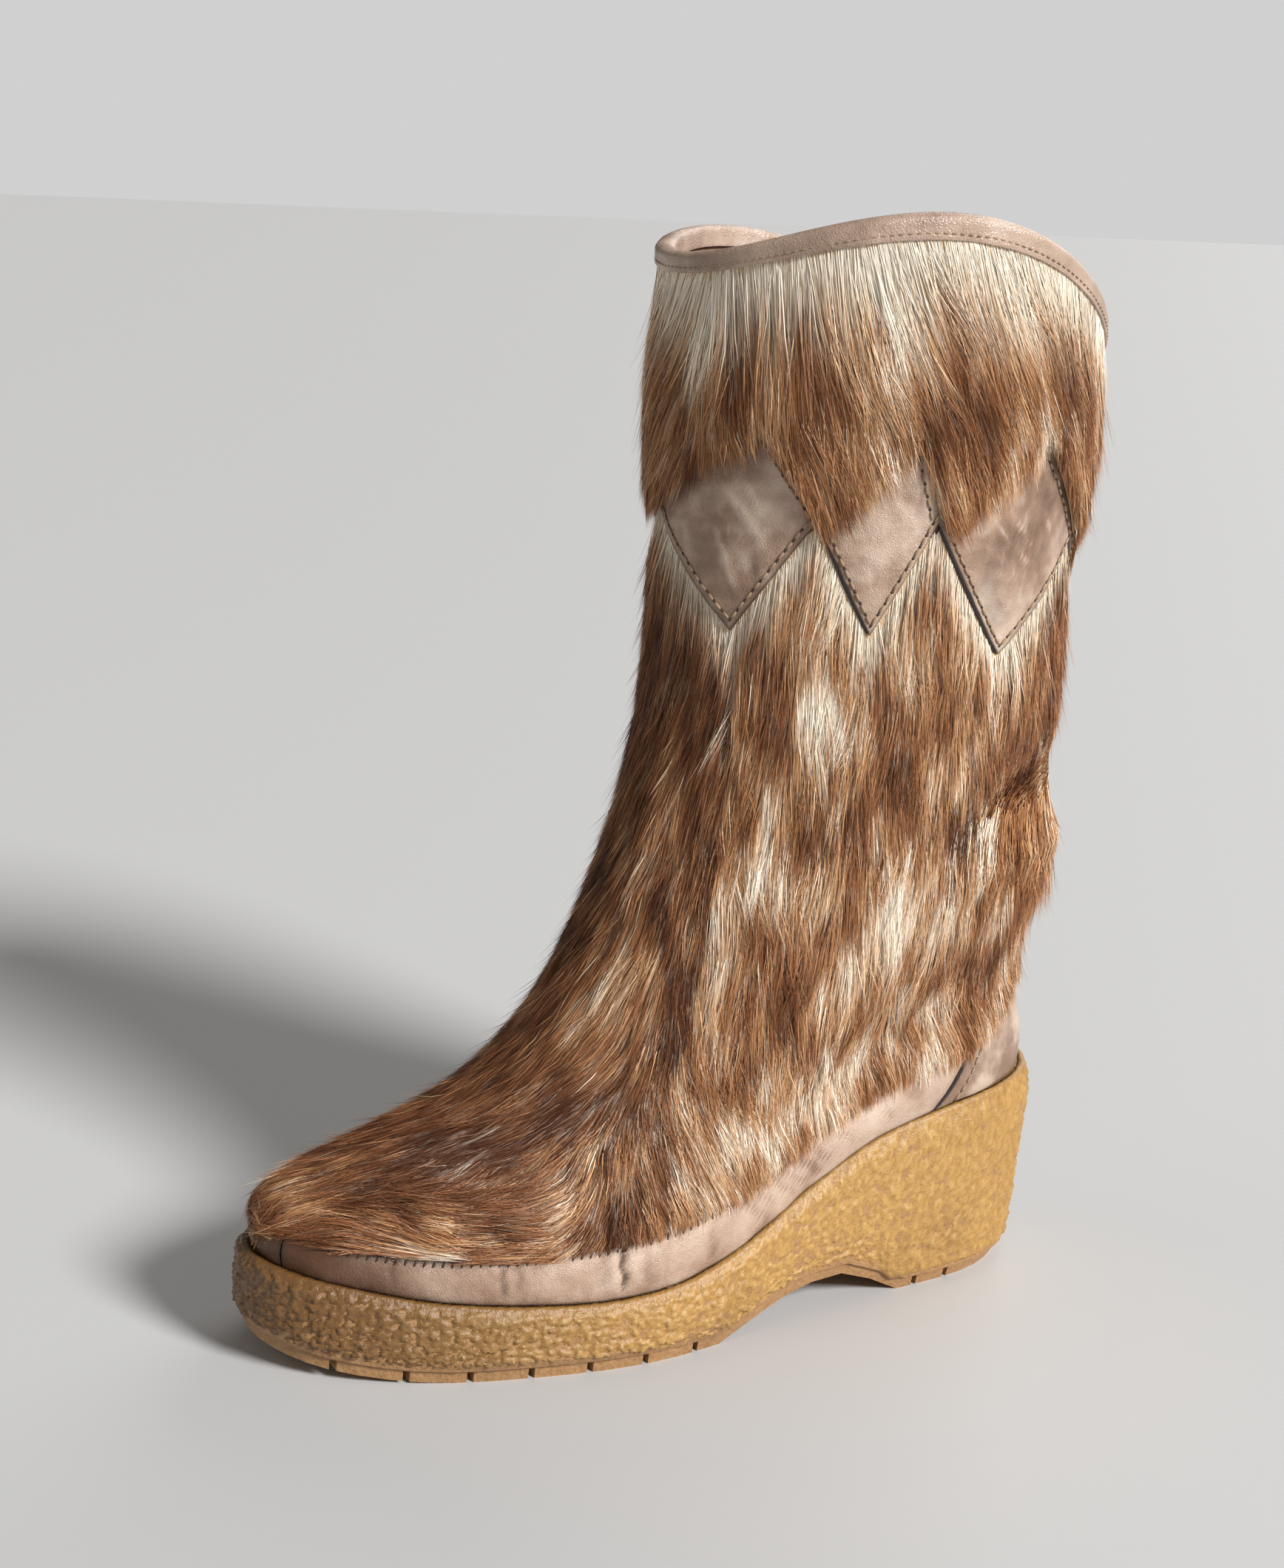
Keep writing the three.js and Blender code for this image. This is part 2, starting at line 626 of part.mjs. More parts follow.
// Even columns across a piece, moved aside for ones at the corners of its edge
const COLUMN_CLEAR = 0.6;
function columnsWith(corners, count) {
  const isFree = (w) => corners.every((corner) => Math.abs(corner - w) > COLUMN_CLEAR / count);
  return [...evenColumns(-1, 1, count).filter(isFree), ...corners].sort((a, b) => a - b);
}

// The two hides of the shaft reach from just above the leather to just below the band
const NEAR_BAND = 10;
const HAIR_EDGE = { low: 0.14, high: 0.03, cuff_high: 0.012 };
const shaftHide = (turn, columns, rows) => ({
  columns,
  turn,
  steps: evenColumns(0, 1, rows),
  inside: () => -SUNK,
  low: (w) => meets(leatherEdge, turn, w, NEAR_RAND) + HAIR_EDGE.low,
  high: (w) => meets(bandEdge, turn, w, NEAR_BAND) - HAIR_EDGE.high,
});

// Angle of the side seam at the band, and how far from the ends of a hide its corners stand
const SEAM_AT_BAND = 27.3;
const BACK_SPAN = 153;
const END_CLEAR = 0.02;
function frontBody() {
  const turn = (w, v) => w * (seamAngle(v) - ENDS);
  const corner = BAND_EDGE[2].angle / SEAM_AT_BAND;
  const shape = shaftHide(turn, columnsWith([corner], 14), 11);
  return hairBody({ shape, seed: 11, locks: 21, spread: 0.84, lean: 0, hang: 1.1 });
}

function quartersBody() {
  const turn = (w, v) => Math.PI + w * (Math.PI - seamAngle(v) - ENDS);
  const isInside = (w) => w > END_CLEAR - 1 && w < -END_CLEAR;
  const corners = BAND_EDGE.map((row) => (row.angle - 180) / BACK_SPAN).filter(isInside);
  const shape = shaftHide(turn, columnsWith(corners, 16), 8);
  return hairBody({ shape, seed: 29, locks: 29, spread: 0.93, lean: 0, hang: 1.1 });
}

// The cuff lies over the band, and comes down to the upper above it
const CUFF_STEP = { above_band: 0.05, reach: 0.15 };
function cuffBody() {
  const overBand = 2 * GAP + LEATHER;
  const pastBand = (v) => within(0, 1, (v - BAND_TOP - CUFF_STEP.above_band) / CUFF_STEP.reach);
  const floor = (v) => overBand * (1 - pastBand(v));
  const shape = {
    columns: pointedColumns(28),
    turn: (w) => w,
    ring: true,
    steps: evenColumns(0, 1, 5),
    inside: (u, v) => mix(overBand, -SUNK, pastBand(v)),
    low: cuffEdge,
    high: () => BINDING_EDGE - HAIR_EDGE.cuff_high,
  };
  return hairBody({ shape, floor, seed: 47, locks: 22, spread: 3.1, lean: 0.3, hang: 0.25 });
}

const finish = (color, roughness) => new THREE.MeshStandardMaterial({ color, roughness, metalness: 0 });
const CREPE = finish('#c39a54', 0.8);
const LINING = finish('#a98672', 0.7);
const HIDE = finish('#a58f7d', 0.7);
const HAIR = finish('#8a6446', 0.9);
const TAUPE = finish('#8f7f70', 0.55);

const boot = new THREE.Group();
boot.name = 'apres_ski_boot';
function add(name, geometry, material) {
  const mesh = new THREE.Mesh(geometry, material);
  mesh.name = name;
  boot.add(mesh);
}

add('sole', soleBody(), CREPE);
add('insole', insoleBody(), LINING);
add('upper', upperBody(), HIDE);
add('rand_outer', randBody(1), TAUPE);
add('rand_inner', randBody(-1), TAUPE);
add('heel_counter', counterBody(), TAUPE);
add('fur_front', frontBody(), HAIR);
add('fur_quarters', quartersBody(), HAIR);
add('point_band', bandBody(), TAUPE);
add('fur_cuff', cuffBody(), HAIR);
add('collar_binding', bindingBody(), TAUPE);

export default boot;
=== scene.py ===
"""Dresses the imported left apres-ski boot: hair, leather, stitches and crepe, set under soft studio light.

Lengths are in millimetres on the last and are turned to metres where a mesh is made. The toe points to -Y
and the outer side of the foot to +X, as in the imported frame.
"""

import logging
import math
from dataclasses import dataclass, field, fields, replace
from enum import Enum
from functools import partial
from typing import Callable

import bpy
import numpy as np
from mathutils import Matrix, Vector
from mathutils.kdtree import KDTree


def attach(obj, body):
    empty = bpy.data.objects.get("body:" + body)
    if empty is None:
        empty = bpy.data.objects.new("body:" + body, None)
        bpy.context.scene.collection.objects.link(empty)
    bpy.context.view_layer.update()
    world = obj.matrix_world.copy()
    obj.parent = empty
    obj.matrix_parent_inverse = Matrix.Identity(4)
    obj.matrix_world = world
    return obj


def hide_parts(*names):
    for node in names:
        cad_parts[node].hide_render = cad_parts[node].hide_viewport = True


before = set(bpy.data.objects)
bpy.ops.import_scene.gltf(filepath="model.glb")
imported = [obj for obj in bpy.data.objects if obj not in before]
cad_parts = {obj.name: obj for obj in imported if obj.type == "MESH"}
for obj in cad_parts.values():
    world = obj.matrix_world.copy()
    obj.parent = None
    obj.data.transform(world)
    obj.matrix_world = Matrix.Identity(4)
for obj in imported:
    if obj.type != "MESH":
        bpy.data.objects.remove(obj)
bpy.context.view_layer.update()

log = logging.getLogger("apres_ski_boot")
MM = 0.001
TAUPE_SLOT = "taupe_leather"
Array = np.ndarray
Draw = np.random.Generator
Piece = bpy.types.Object
Finish = bpy.types.Material
Socket = bpy.types.NodeSocket
Colour = tuple[float, float, float]
Span = tuple[float, float]
Table = tuple[float, ...]
Waves = tuple[tuple[int, float, float], ...]
Edge = Callable[[Array], Array]
Turn = Callable[[Array, Array], Array]


class Side(Enum):
    """The two sides of the foot, by the sign of X."""

    OUTER = 1
    INNER = -1


class Flow(Enum):
    """How the hair of a panel lies."""

    FORWARD_OVER_FOOT = "down the shaft, then forward over the foot"
    STRAIGHT_DOWN = "straight down"
    SWEPT_BACK = "down and towards the back"


@dataclass(frozen=True)
class Section:
    """One level section of the last. Lengths are in millimetres.

    Attributes:
        front: Distance of its front end from the toe tip.
        back: Distance of its back end from the toe tip.
        foot: How much it follows the sole's outline, from 0 to 1.
        girth: Its half-width there, as a share of the outline's.
        half: Its half-width where it leaves the outline.
        z_front: Height of its front end.
        z_back: Height of its back end.
        sag: How much it follows the seat's curve, from 0 to 1.
        rise: How far its outer side is raised.
        rise_inner: How far its inner side is raised.
    """

    front: float
    back: float
    foot: float
    girth: float
    half: float
    z_front: float
    z_back: float
    sag: float
    rise: float
    rise_inner: float


@dataclass(frozen=True)
class Last:
    """The boot's own form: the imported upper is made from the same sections.

    Lengths are in millimetres, and outline_along in shares of the sole's length.
    """

    toe_y: float = -135.6
    sole_length: float = 271.0
    toe_swing: float = 5.0
    sections: tuple[Section, ...] = (
        Section(6.0, 264.0, 1.0, 0.895, 44, 32.6, 65.5, 1.0, 0, 0),
        Section(5.5, 264.8, 1.0, 0.92, 44, 38.5, 73.0, 1.0, 0, 0),
        Section(8.5, 263.5, 1.0, 0.9, 44, 44.0, 81.0, 0.95, 0, 0),
        Section(18.0, 261.5, 1.0, 0.85, 44, 48.5, 89.0, 0.75, 0, 0),
        Section(38.5, 260.0, 0.85, 0.79, 43, 55.5, 98.0, 0.5, 0, 0),
        Section(63.5, 260.0, 0.6, 0.77, 43, 65.5, 108.0, 0.3, 0, 0),
        Section(86.5, 262.0, 0.35, 0.8, 44, 83.0, 120.0, 0.12, 0, 0),
        Section(105.0, 266.0, 0.15, 0.85, 46, 111.0, 134.0, 0, 0, 0),
        Section(119.5, 266.5, 0, 1, 48, 146.0, 152.0, 0, 0, 0),
        Section(129.5, 262.5, 0, 1, 51, 185.0, 186.0, 0, 0, 0),
        Section(132.0, 261.0, 0, 1, 54, 230.0, 222.0, 0, 2, 2),
        Section(131.5, 263.0, 0, 1, 58, 278.0, 262.0, 0, 9, 7),
        Section(129.5, 266.5, 0, 1, 62.5, 322.0, 295.0, 0, 26, 18),
    )
    outline_along: Table = (0.0, 0.1, 0.25, 0.4, 0.5, 0.62, 0.72, 0.82, 0.92, 1.0)
    outline_outer: Table = (62, 56, 54, 53, 48.5, 41, 40.8, 45.5, 53, 58)
    outline_inner: Table = (60, 52, 47.5, 41.5, 37, 34.2, 36, 43.5, 53, 58)
    seat_from_toe: Table = (0, 20, 45, 80, 105, 125, 150, 175, 195, 220, 245, 271)
    seat_height: Table = (33, 29.8, 25, 21.8, 21.8, 24.5, 32.6, 44.8, 54, 60.3, 63.6, 65.5)

    @property
    def top(self) -> int:
        """The collar's height, counted in sections."""
        return len(self.sections) - 1

    def column(self, name: str, v: Array) -> Array:
        """One size of the sections, read smoothly at heights v.

        Args:
            name: The size's name in Section.
            v: Heights, counted in sections.

        Returns:
            The size at each height.
        """
        values = np.array([getattr(section, name) for section in self.sections], float)
        i = np.clip(np.floor(v).astype(int), 0, self.top - 1)
        s = v - i
        a, b, c, d = (values[np.clip(i + k, 0, self.top)] for k in (-1, 0, 1, 2))
        return b + 0.5 * s * (c - a + s * (2 * a - 5 * b + 4 * c - d + s * (3 * (b - c) + d - a)))

    def seat(self, from_toe: Array) -> Array:
        """Height of the seat at distances from the toe tip."""
        return read_smoothly(self.seat_from_toe, self.seat_height, np.clip(from_toe, 0, self.sole_length))

    def outline(self, u: Array) -> Array:
        """Half-width of the sole's outline.

        Args:
            u: Angles round from the toe by the outer side, in radians.

        Returns:
            Half-widths in millimetres.
        """
        along = along_foot(u)
        outer = read_smoothly(self.outline_along, self.outline_outer, along)
        inner = read_smoothly(self.outline_along, self.outline_inner, along)
        return np.where(np.sin(u) >= 0, outer, inner)

    def point(self, u: Array, v: Array) -> Array:
        """Points of the last.

        Args:
            u: Angles round from the toe by the outer side, in radians.
            v: Heights, counted in sections from the seat to the collar.

        Returns:
            Points in millimetres, in an array with one more axis.
        """
        s = {item.name: self.column(item.name, v) for item in fields(Section)}
        along = along_foot(u)
        from_toe = s["front"] + (s["back"] - s["front"]) * along
        half = s["half"] + (self.outline(u) * s["girth"] - s["half"]) * s["foot"]
        seat_front = self.seat(s["front"])
        chord = seat_front + (self.seat(s["back"]) - seat_front) * along
        sag = s["sag"] * (self.seat(from_toe) - chord)
        rise = np.where(np.sin(u) >= 0, s["rise"], s["rise_inner"]) * np.sin(u) ** 2
        z = s["z_front"] + (s["z_back"] - s["z_front"]) * along + sag + rise
        x = -self.toe_swing * (1 - along) ** 2 * s["foot"] + np.sin(u) * half
        return np.stack([x, self.toe_y + from_toe, z], axis=-1)

    def slopes(self, u: Array, v: Array) -> tuple[Array, Array]:
        """How the last runs round and up at each place.

        Args:
            u: Angles.
            v: Heights.

        Returns:
            Millimetres per unit of u and per unit of v, as vectors.
        """
        step = 1e-3
        low = np.maximum(0, v - step)
        high = np.minimum(self.top, v + step)
        round_slope = (self.point(u + step, v) - self.point(u - step, v)) / (2 * step)
        up_slope = (self.point(u, high) - self.point(u, low)) / (high - low)[..., None]
        return round_slope, up_slope

    def normal(self, u: Array, v: Array) -> Array:
        """Outward directions of the last."""
        round_slope, up_slope = self.slopes(u, v)
        return unit(np.cross(round_slope, up_slope))

    def offset(self, u: Array, v: Array, out: Array) -> Array:
        """Points that stand a distance out from the last, in millimetres."""
        return self.point(u, v) + self.normal(u, v) * np.asarray(out)[..., None]


@dataclass(frozen=True)
class Edges:
    """Edges of the pieces on the last: angles in degrees from the toe, heights in sections."""

    band_angle: Table = (-180, -32, -14, 26.5, 49, 65.5, 80.3, 104, 138.5, 155, 180)
    band_height: Table = (10.2, 10.2, 10.42, 9.72, 10.43, 9.77, 10.46, 9.65, 10.46, 10.2, 10.2)
    cuff_angle: Table = (-180, -14, 32, 49, 72.5, 80.3, 109, 138.5, 155, 180)
    cuff_height: Table = (10.46, 10.46, 10.95, 10.47, 10.98, 10.5, 11.05, 10.5, 10.46, 10.46)
    rand_angle: Table = (0, 30, 58, 80, 95, 112, 180)
    rand_height: Table = (1.75, 1.7, 2.0, 2.25, 2.25, 2.1, 2.1)
    seam_height: Table = (1.5, 2.6, 3.4, 5.5, 6.5, 7.4, 8.4, 9.2, 10.6)
    seam_angle: Table = (82, 79, 76, 58, 47.5, 41, 34.5, 30, 27)
    counter_at_seat: float = 51.5
    counter_lean: float = 4.3
    counter_front: float = 2.15
    counter_back: float = 4.5
    counter_bend: float = 1.3
    toe_seam: float = 13.5
    seat: float = 0.1
    binding: float = 11.85
    band_top: float = 11.25

    def band(self, u: Array) -> Array:
        """The band's lower edge."""
        return np.interp(wrapped(u), self.band_angle, self.band_height)

    def cuff(self, u: Array) -> Array:
        """The cuff's lower edge."""
        return np.interp(wrapped(u), self.cuff_angle, self.cuff_height)

    def rand(self, u: Array) -> Array:
        """The rand's upper edge."""
        return read_smoothly(self.rand_angle, self.rand_height, np.abs(wrapped(u)))

    def seam(self, v: Array) -> Array:
        """Angle of the side seam from the front, in radians."""
        return np.radians(read_smoothly(self.seam_height, self.seam_angle, v))

    def counter_half(self, v: Array) -> Array:
        """Half of the counter's spread round the back, in radians."""
        return np.radians(self.counter_at_seat - self.counter_lean * np.asarray(v))

    def counter(self, w: Array) -> Array:
        """The counter's upper edge, by share of its spread."""
        return self.counter_back + (self.counter_front - self.counter_back) * np.abs(w) ** self.counter_bend

    def leather(self, u: Array) -> Array:
        """Upper edge of all the leather above the sole.

        Args:
            u: Angles of the places.

        Returns:
            Heights.
        """
        from_back = np.pi - np.radians(np.abs(wrapped(u)))
        w = np.minimum(1, from_back / self.counter_half(self.counter_front))
        return np.where(w < 1, np.maximum(self.rand(u), self.counter(w)), self.rand(u))


def read_smoothly(places: Table, values: Table, at: Array) -> Array:
    """A smooth curve through a short table, as the part reads its tables.

    Args:
        places: Where the values stand, rising.
        values: The values.
        at: Where to read.

    Returns:
        The values there.
    """
    k = np.asarray(places, float)
    y = np.asarray(values, float)
    slope = np.empty(len(k))
    slope[1:-1] = (y[2:] - y[:-2]) / (k[2:] - k[:-2])
    slope[0] = (y[1] - y[0]) / (k[1] - k[0])
    slope[-1] = (y[-1] - y[-2]) / (k[-1] - k[-2])
    at = np.asarray(at, float)
    i = np.clip(np.searchsorted(k, at) - 1, 0, len(k) - 2)
    h = k[i + 1] - k[i]
    s = np.clip((at - k[i]) / h, 0, 1)
    return (
        (2 * s**3 - 3 * s**2 + 1) * y[i]
        + (s**3 - 2 * s**2 + s) * slope[i] * h
        + (3 * s**2 - 2 * s**3) * y[i + 1]
        + (s**3 - s**2) * slope[i + 1] * h
    )


def wrapped(u: Array) -> Array:
    """Angles in degrees, from -180 to 180."""
    return (np.degrees(u) + 540) % 360 - 180


def along_foot(u: Array) -> Array:
    """How far along the foot angles are, from 0 at the toe to 1 at the heel."""
    return (1 - np.cos(u)) / 2


def unit(vectors: Array) -> Array:
    """Vectors made one long."""
    return vectors / np.linalg.norm(vectors, axis=-1, keepdims=True)


def smooth_step(low: float, high: float, x: Array) -> Array:
    """A soft ramp from 0 at low to 1 at high."""
    s = np.clip((np.asarray(x) - low) / (high - low), 0, 1)
    return s * s * (3 - 2 * s)


def run_along(places: Array, axis: int = 0) -> Array:
    """Distances along the lines of a grid, from 0 at their starts.

    Args:
        places: Points of one line, or of a grid of lines.
        axis: The axis that the lines run along.

    Returns:
        The distance at each point.
    """
    steps = np.linalg.norm(np.diff(places, axis=axis), axis=-1)
    start = np.zeros_like(np.take(steps, [0], axis=axis))
    return np.concatenate([start, steps.cumsum(axis=axis)], axis=axis)


def meets(edge: Edge, turn: Turn, start: float, w: Array) -> Array:
    """The heights where leaning columns meet an edge.

    Args:
        edge: The edge's height at an angle.
        turn: A column's angle at a height.
        start: A height to search from.
        w: The columns.

    Returns:
        A height for each column.
    """
    rounds, kept, taken = 12, 0.3, 0.7
    v = np.full(np.shape(w), start, float)
    for _ in range(rounds):
        v = kept * v + taken * edge(turn(w, v))
    return v


def level(height: float) -> Edge:
    """An edge at one height all round.

    Args:
        height: The height.

    Returns:
        The edge.
    """

    def edge(w: Array) -> Array:
        """The same height for every column."""
        return np.full(np.shape(w), float(height))

    return edge


@dataclass
class Ripples:
    """Soft unevenness: a sum of waves in seeded directions.

    Attributes:
        seed: Fixes the waves.
        size: Usual length of a wave, in the unit of the places.
        count: How many waves are added.
        shortest: Shortest wave, as a share of the usual length.
        longest: Longest wave, as a share of it.
    """

    seed: int
    size: float
    count: int = 14
    shortest: float = 0.6
    longest: float = 1.7

    def at(self, places: Array) -> Array:
        """Reads the waves.

        Args:
            places: Points with any number of axes.

        Returns:
            Heights from about -1 to 1.
        """
        draw = np.random.default_rng(self.seed)
        total = np.zeros(places.shape[:-1])
        for _ in range(self.count):
            direction = unit(draw.normal(size=places.shape[-1]))
            wave = 2 * np.pi / (self.size * draw.uniform(self.shortest, self.longest))
            total += np.sin(places @ direction * wave + draw.uniform(0, 2 * np.pi))
        return total / math.sqrt(self.count)


LAST = Last()
EDGES = Edges()


def only(piece: Piece) -> None:
    """Makes a piece the one selected and active object.

    Args:
        piece: The piece.
    """
    bpy.ops.object.select_all(action="DESELECT")
    piece.select_set(True)
    bpy.context.view_layer.objects.active = piece


def closed(grid: Array) -> Array:
    """A grid whose first column comes again at its end."""
    return np.concatenate([grid, grid[:, :1]], axis=1)


def points_of(piece: Piece) -> Array:
    """Reads a piece's points.

    Args:
        piece: The piece.

    Returns:
        Points in the piece's own unit.
    """
    found = np.empty(len(piece.data.vertices) * 3)
    piece.data.vertices.foreach_get("co", found)
    return found.reshape(-1, 3)


def add_mark(piece: Piece, name: str, values: Array) -> None:
    """Keeps a value at each point of a piece, for its finish to read."""
    kept = piece.data.attributes.new(name, "FLOAT", "POINT")
    kept.data.foreach_set("value", values.astype(np.float32).ravel())


def grid_piece(name: str, places: Array, ring: bool, marks: dict[str, Array] | None = None) -> Piece:
    """A sheet shaped from a plain grid.

    Args:
        name: The piece's name.
        places: Points in millimetres, by row and column.
        ring: True if the last column closes on the first.
        marks: Values at the points that the finish reads, by name.

    Returns:
        The sheet, its faces outwards.
    """
    merge = 1e-5
    if ring:
        places = closed(places)
    rows, columns = places.shape[:2]
    bpy.ops.object.select_all(action="DESELECT")
    bpy.ops.mesh.primitive_grid_add(x_subdivisions=columns - 1, y_subdivisions=rows - 1, size=1)
    piece = bpy.context.object
    piece.name = name
    piece.data.name = name
    piece.data.vertices.foreach_set("co", (places * MM).astype(np.float32).ravel())
    for mark, values in (marks or {}).items():
        add_mark(piece, mark, closed(values) if ring else values)
    piece.data.update()
    if ring:
        bpy.ops.object.mode_set(mode="EDIT")
        bpy.ops.mesh.select_all(action="SELECT")
        bpy.ops.mesh.remove_doubles(threshold=merge)
        bpy.ops.object.mode_set(mode="OBJECT")
    return piece


def thicken(piece: Piece, thick: float, rounding: float) -> None:
    """Gives a sheet its thickness inwards and rounds its edges.

    Args:
        piece: The sheet.
        thick: Thickness, in millimetres.
        rounding: Radius of the edges, in millimetres, 0 for sharp ones.
    """
    sharp, smooth = math.radians(50), math.radians(45)
    only(piece)
    wall = piece.modifiers.new("wall", "SOLIDIFY")
    wall.thickness = thick * MM
    wall.offset = -1
    wall.use_even_offset = False
    bpy.ops.object.modifier_apply(modifier=wall.name)
    if rounding > 0:
        edge = piece.modifiers.new("edge", "BEVEL")
        edge.width = rounding * MM
        edge.segments = 2
        edge.limit_method = "ANGLE"
        edge.angle_limit = sharp
        bpy.ops.object.modifier_apply(modifier=edge.name)
    bpy.ops.object.shade_smooth_by_angle(angle=smooth)


def mesh_piece(name: str, corners: Array, faces: Array) -> Piece:
    """A mesh of many small things, from arrays.

    Args:
        name: The piece's name.
        corners: Points in metres.
        faces: Rows of three or four corners. A row of three ends in -1.

    Returns:
        The piece, linked to the scene.
    """
    mesh = bpy.data.meshes.new(name)
    kept = faces[:, 3] >= 0
    sizes = np.where(kept, 4, 3)
    loops = faces.ravel()[np.column_stack([np.ones((len(faces), 3), bool), kept]).ravel()]
    mesh.vertices.add(len(corners))
    mesh.vertices.foreach_set("co", corners.astype(np.float32).ravel())
    mesh.loops.add(len(loops))
    mesh.loops.foreach_set("vertex_index", loops.astype(np.int32))
    mesh.polygons.add(len(faces))
    mesh.polygons.foreach_set("loop_start", np.concatenate([[0], np.cumsum(sizes)[:-1]]).astype(np.int32))
    mesh.polygons.foreach_set("use_smooth", np.ones(len(faces), bool))
    mesh.update(calc_edges=True)
    mesh.validate()
    piece = bpy.data.objects.new(name, mesh)
    bpy.context.scene.collection.objects.link(piece)
    return piece


def place(piece: Piece, material: Finish, slot: str, *nodes: str) -> None:
    """Dresses a piece, hangs it under the root and hides the CAD nodes that it replaces.

    Args:
        piece: The finished piece.
        material: Its finish.
        slot: Not used.
        nodes: CAD nodes that it replaces.
    """
    dress(piece, material)
    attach(piece, "root")
    if nodes:
        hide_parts(*nodes)
    log.info("%s: %d faces", piece.name, len(piece.data.polygons))


def dress(piece: Piece, material: Finish) -> None:
    """Gives a piece one finish."""
    piece.data.materials.clear()
    piece.data.materials.append(material)


class Nodes:
    """A small helper that adds shader nodes to a tree and links them."""

    def __init__(self, tree: bpy.types.NodeTree) -> None:
        """Keeps the tree that nodes are added to."""
        self.tree = tree

    @classmethod
    def of_material(cls, name: str) -> tuple[Finish, "Nodes", bpy.types.Node]:
        """Makes a new material.

        Args:
            name: The material's name.

        Returns:
            The material, the helper for its tree, and its shader.
        """
        made = bpy.data.materials.new(name)
        made.use_nodes = True
        return made, cls(made.node_tree), made.node_tree.nodes["Principled BSDF"]

    def fill(self, node: bpy.types.Node, inputs: dict) -> None:
        """Sets or links a node's inputs.

        Args:
            node: The node.
            inputs: Values or output sockets for its inputs, by name or number.
        """
        for key, value in inputs.items():
            if isinstance(value, Socket):
                self.tree.links.new(value, node.inputs[key])
            else:
                node.inputs[key].default_value = value

    def add(self, kind: str, inputs: dict | None = None, **settings: object) -> bpy.types.Node:
        """Adds a node.

        Args:
            kind: The node's type.
            inputs: Values or output sockets for its inputs, by name or number.
            settings: The node's own settings.

        Returns:
            The node.
        """
        node = self.tree.nodes.new(kind)
        for key, value in settings.items():
            setattr(node, key, value)
        self.fill(node, inputs or {})
        return node

    def math(self, operation: str, *values: Socket | float) -> Socket:
        """The result of a sum on values or sockets."""
        return self.add("ShaderNodeMath", dict(enumerate(values)), operation=operation).outputs[0]

    def mark(self, name: str) -> Socket:
        """A mark that is kept at the points of a piece."""
        return self.add("ShaderNodeAttribute", attribute_name=name).outputs["Fac"]

    def span(self, value: Socket, limits: dict[str, float]) -> Socket:
        """A value carried over from one range to another, 0 to 1 where no limit is given."""
        return self.add("ShaderNodeMapRange", {"Value": value, **limits}).outputs[0]

    def noise(self, place_on: Socket, scale: float, detail: float, roughness: float) -> Socket:
        """Noise over the coordinates place_on."""
        inputs = {"Vector": place_on, "Scale": scale, "Detail": detail, "Roughness": roughness}
        return self.add("ShaderNodeTexNoise", inputs).outputs["Fac"]

    def bump(self, height: Socket, strength: float = 0.6, distance: float = 0.0009) -> Socket:
        """The normals of a low relief."""
        inputs = {"Height": height, "Strength": strength, "Distance": distance}
        return self.add("ShaderNodeBump", inputs).outputs["Normal"]

    def blend(self, share: Socket, low: Socket, high: Colour) -> Socket:
        """A colour that goes over to another one by a share."""
        inputs = {"Factor": share, 6: low, 7: (*high, 1)}
        return self.add("ShaderNodeMix", inputs, data_type="RGBA", blend_type="MIX").outputs[2]

    def ramp(self, fac: Socket, places: Table, colours: tuple[Colour, ...]) -> Socket:
        """A colour ramp over a value.

        Args:
            fac: The value.
            places: Where the colours stand, rising.
            colours: As many colours.

        Returns:
            The colour.
        """
        node = self.add("ShaderNodeValToRGB", {"Fac": fac})
        elements = node.color_ramp.elements
        for element, k in ((elements[0], 0), (elements[1], -1)):
            element.position = places[k]
            element.color = (*colours[k], 1)
        for position, colour in zip(places[1:-1], colours[1:-1]):
            element = elements.new(position)
            element.color = (*colour, 1)
        return node.outputs["Color"]


def linear(red: int, green: int, blue: int) -> Colour:
    """Turns a screen colour into linear light.

    Args:
        red: Red, from 0 to 255.
        green: Green, from 0 to 255.
        blue: Blue, from 0 to 255.

    Returns:
        The colour, each part from 0 to 1.
    """
    made = []
    for value in (red, green, blue):
        s = value / 255
        made.append(s / 12.92 if s <= 0.04045 else ((s + 0.055) / 1.055) ** 2.4)
    return tuple(made)


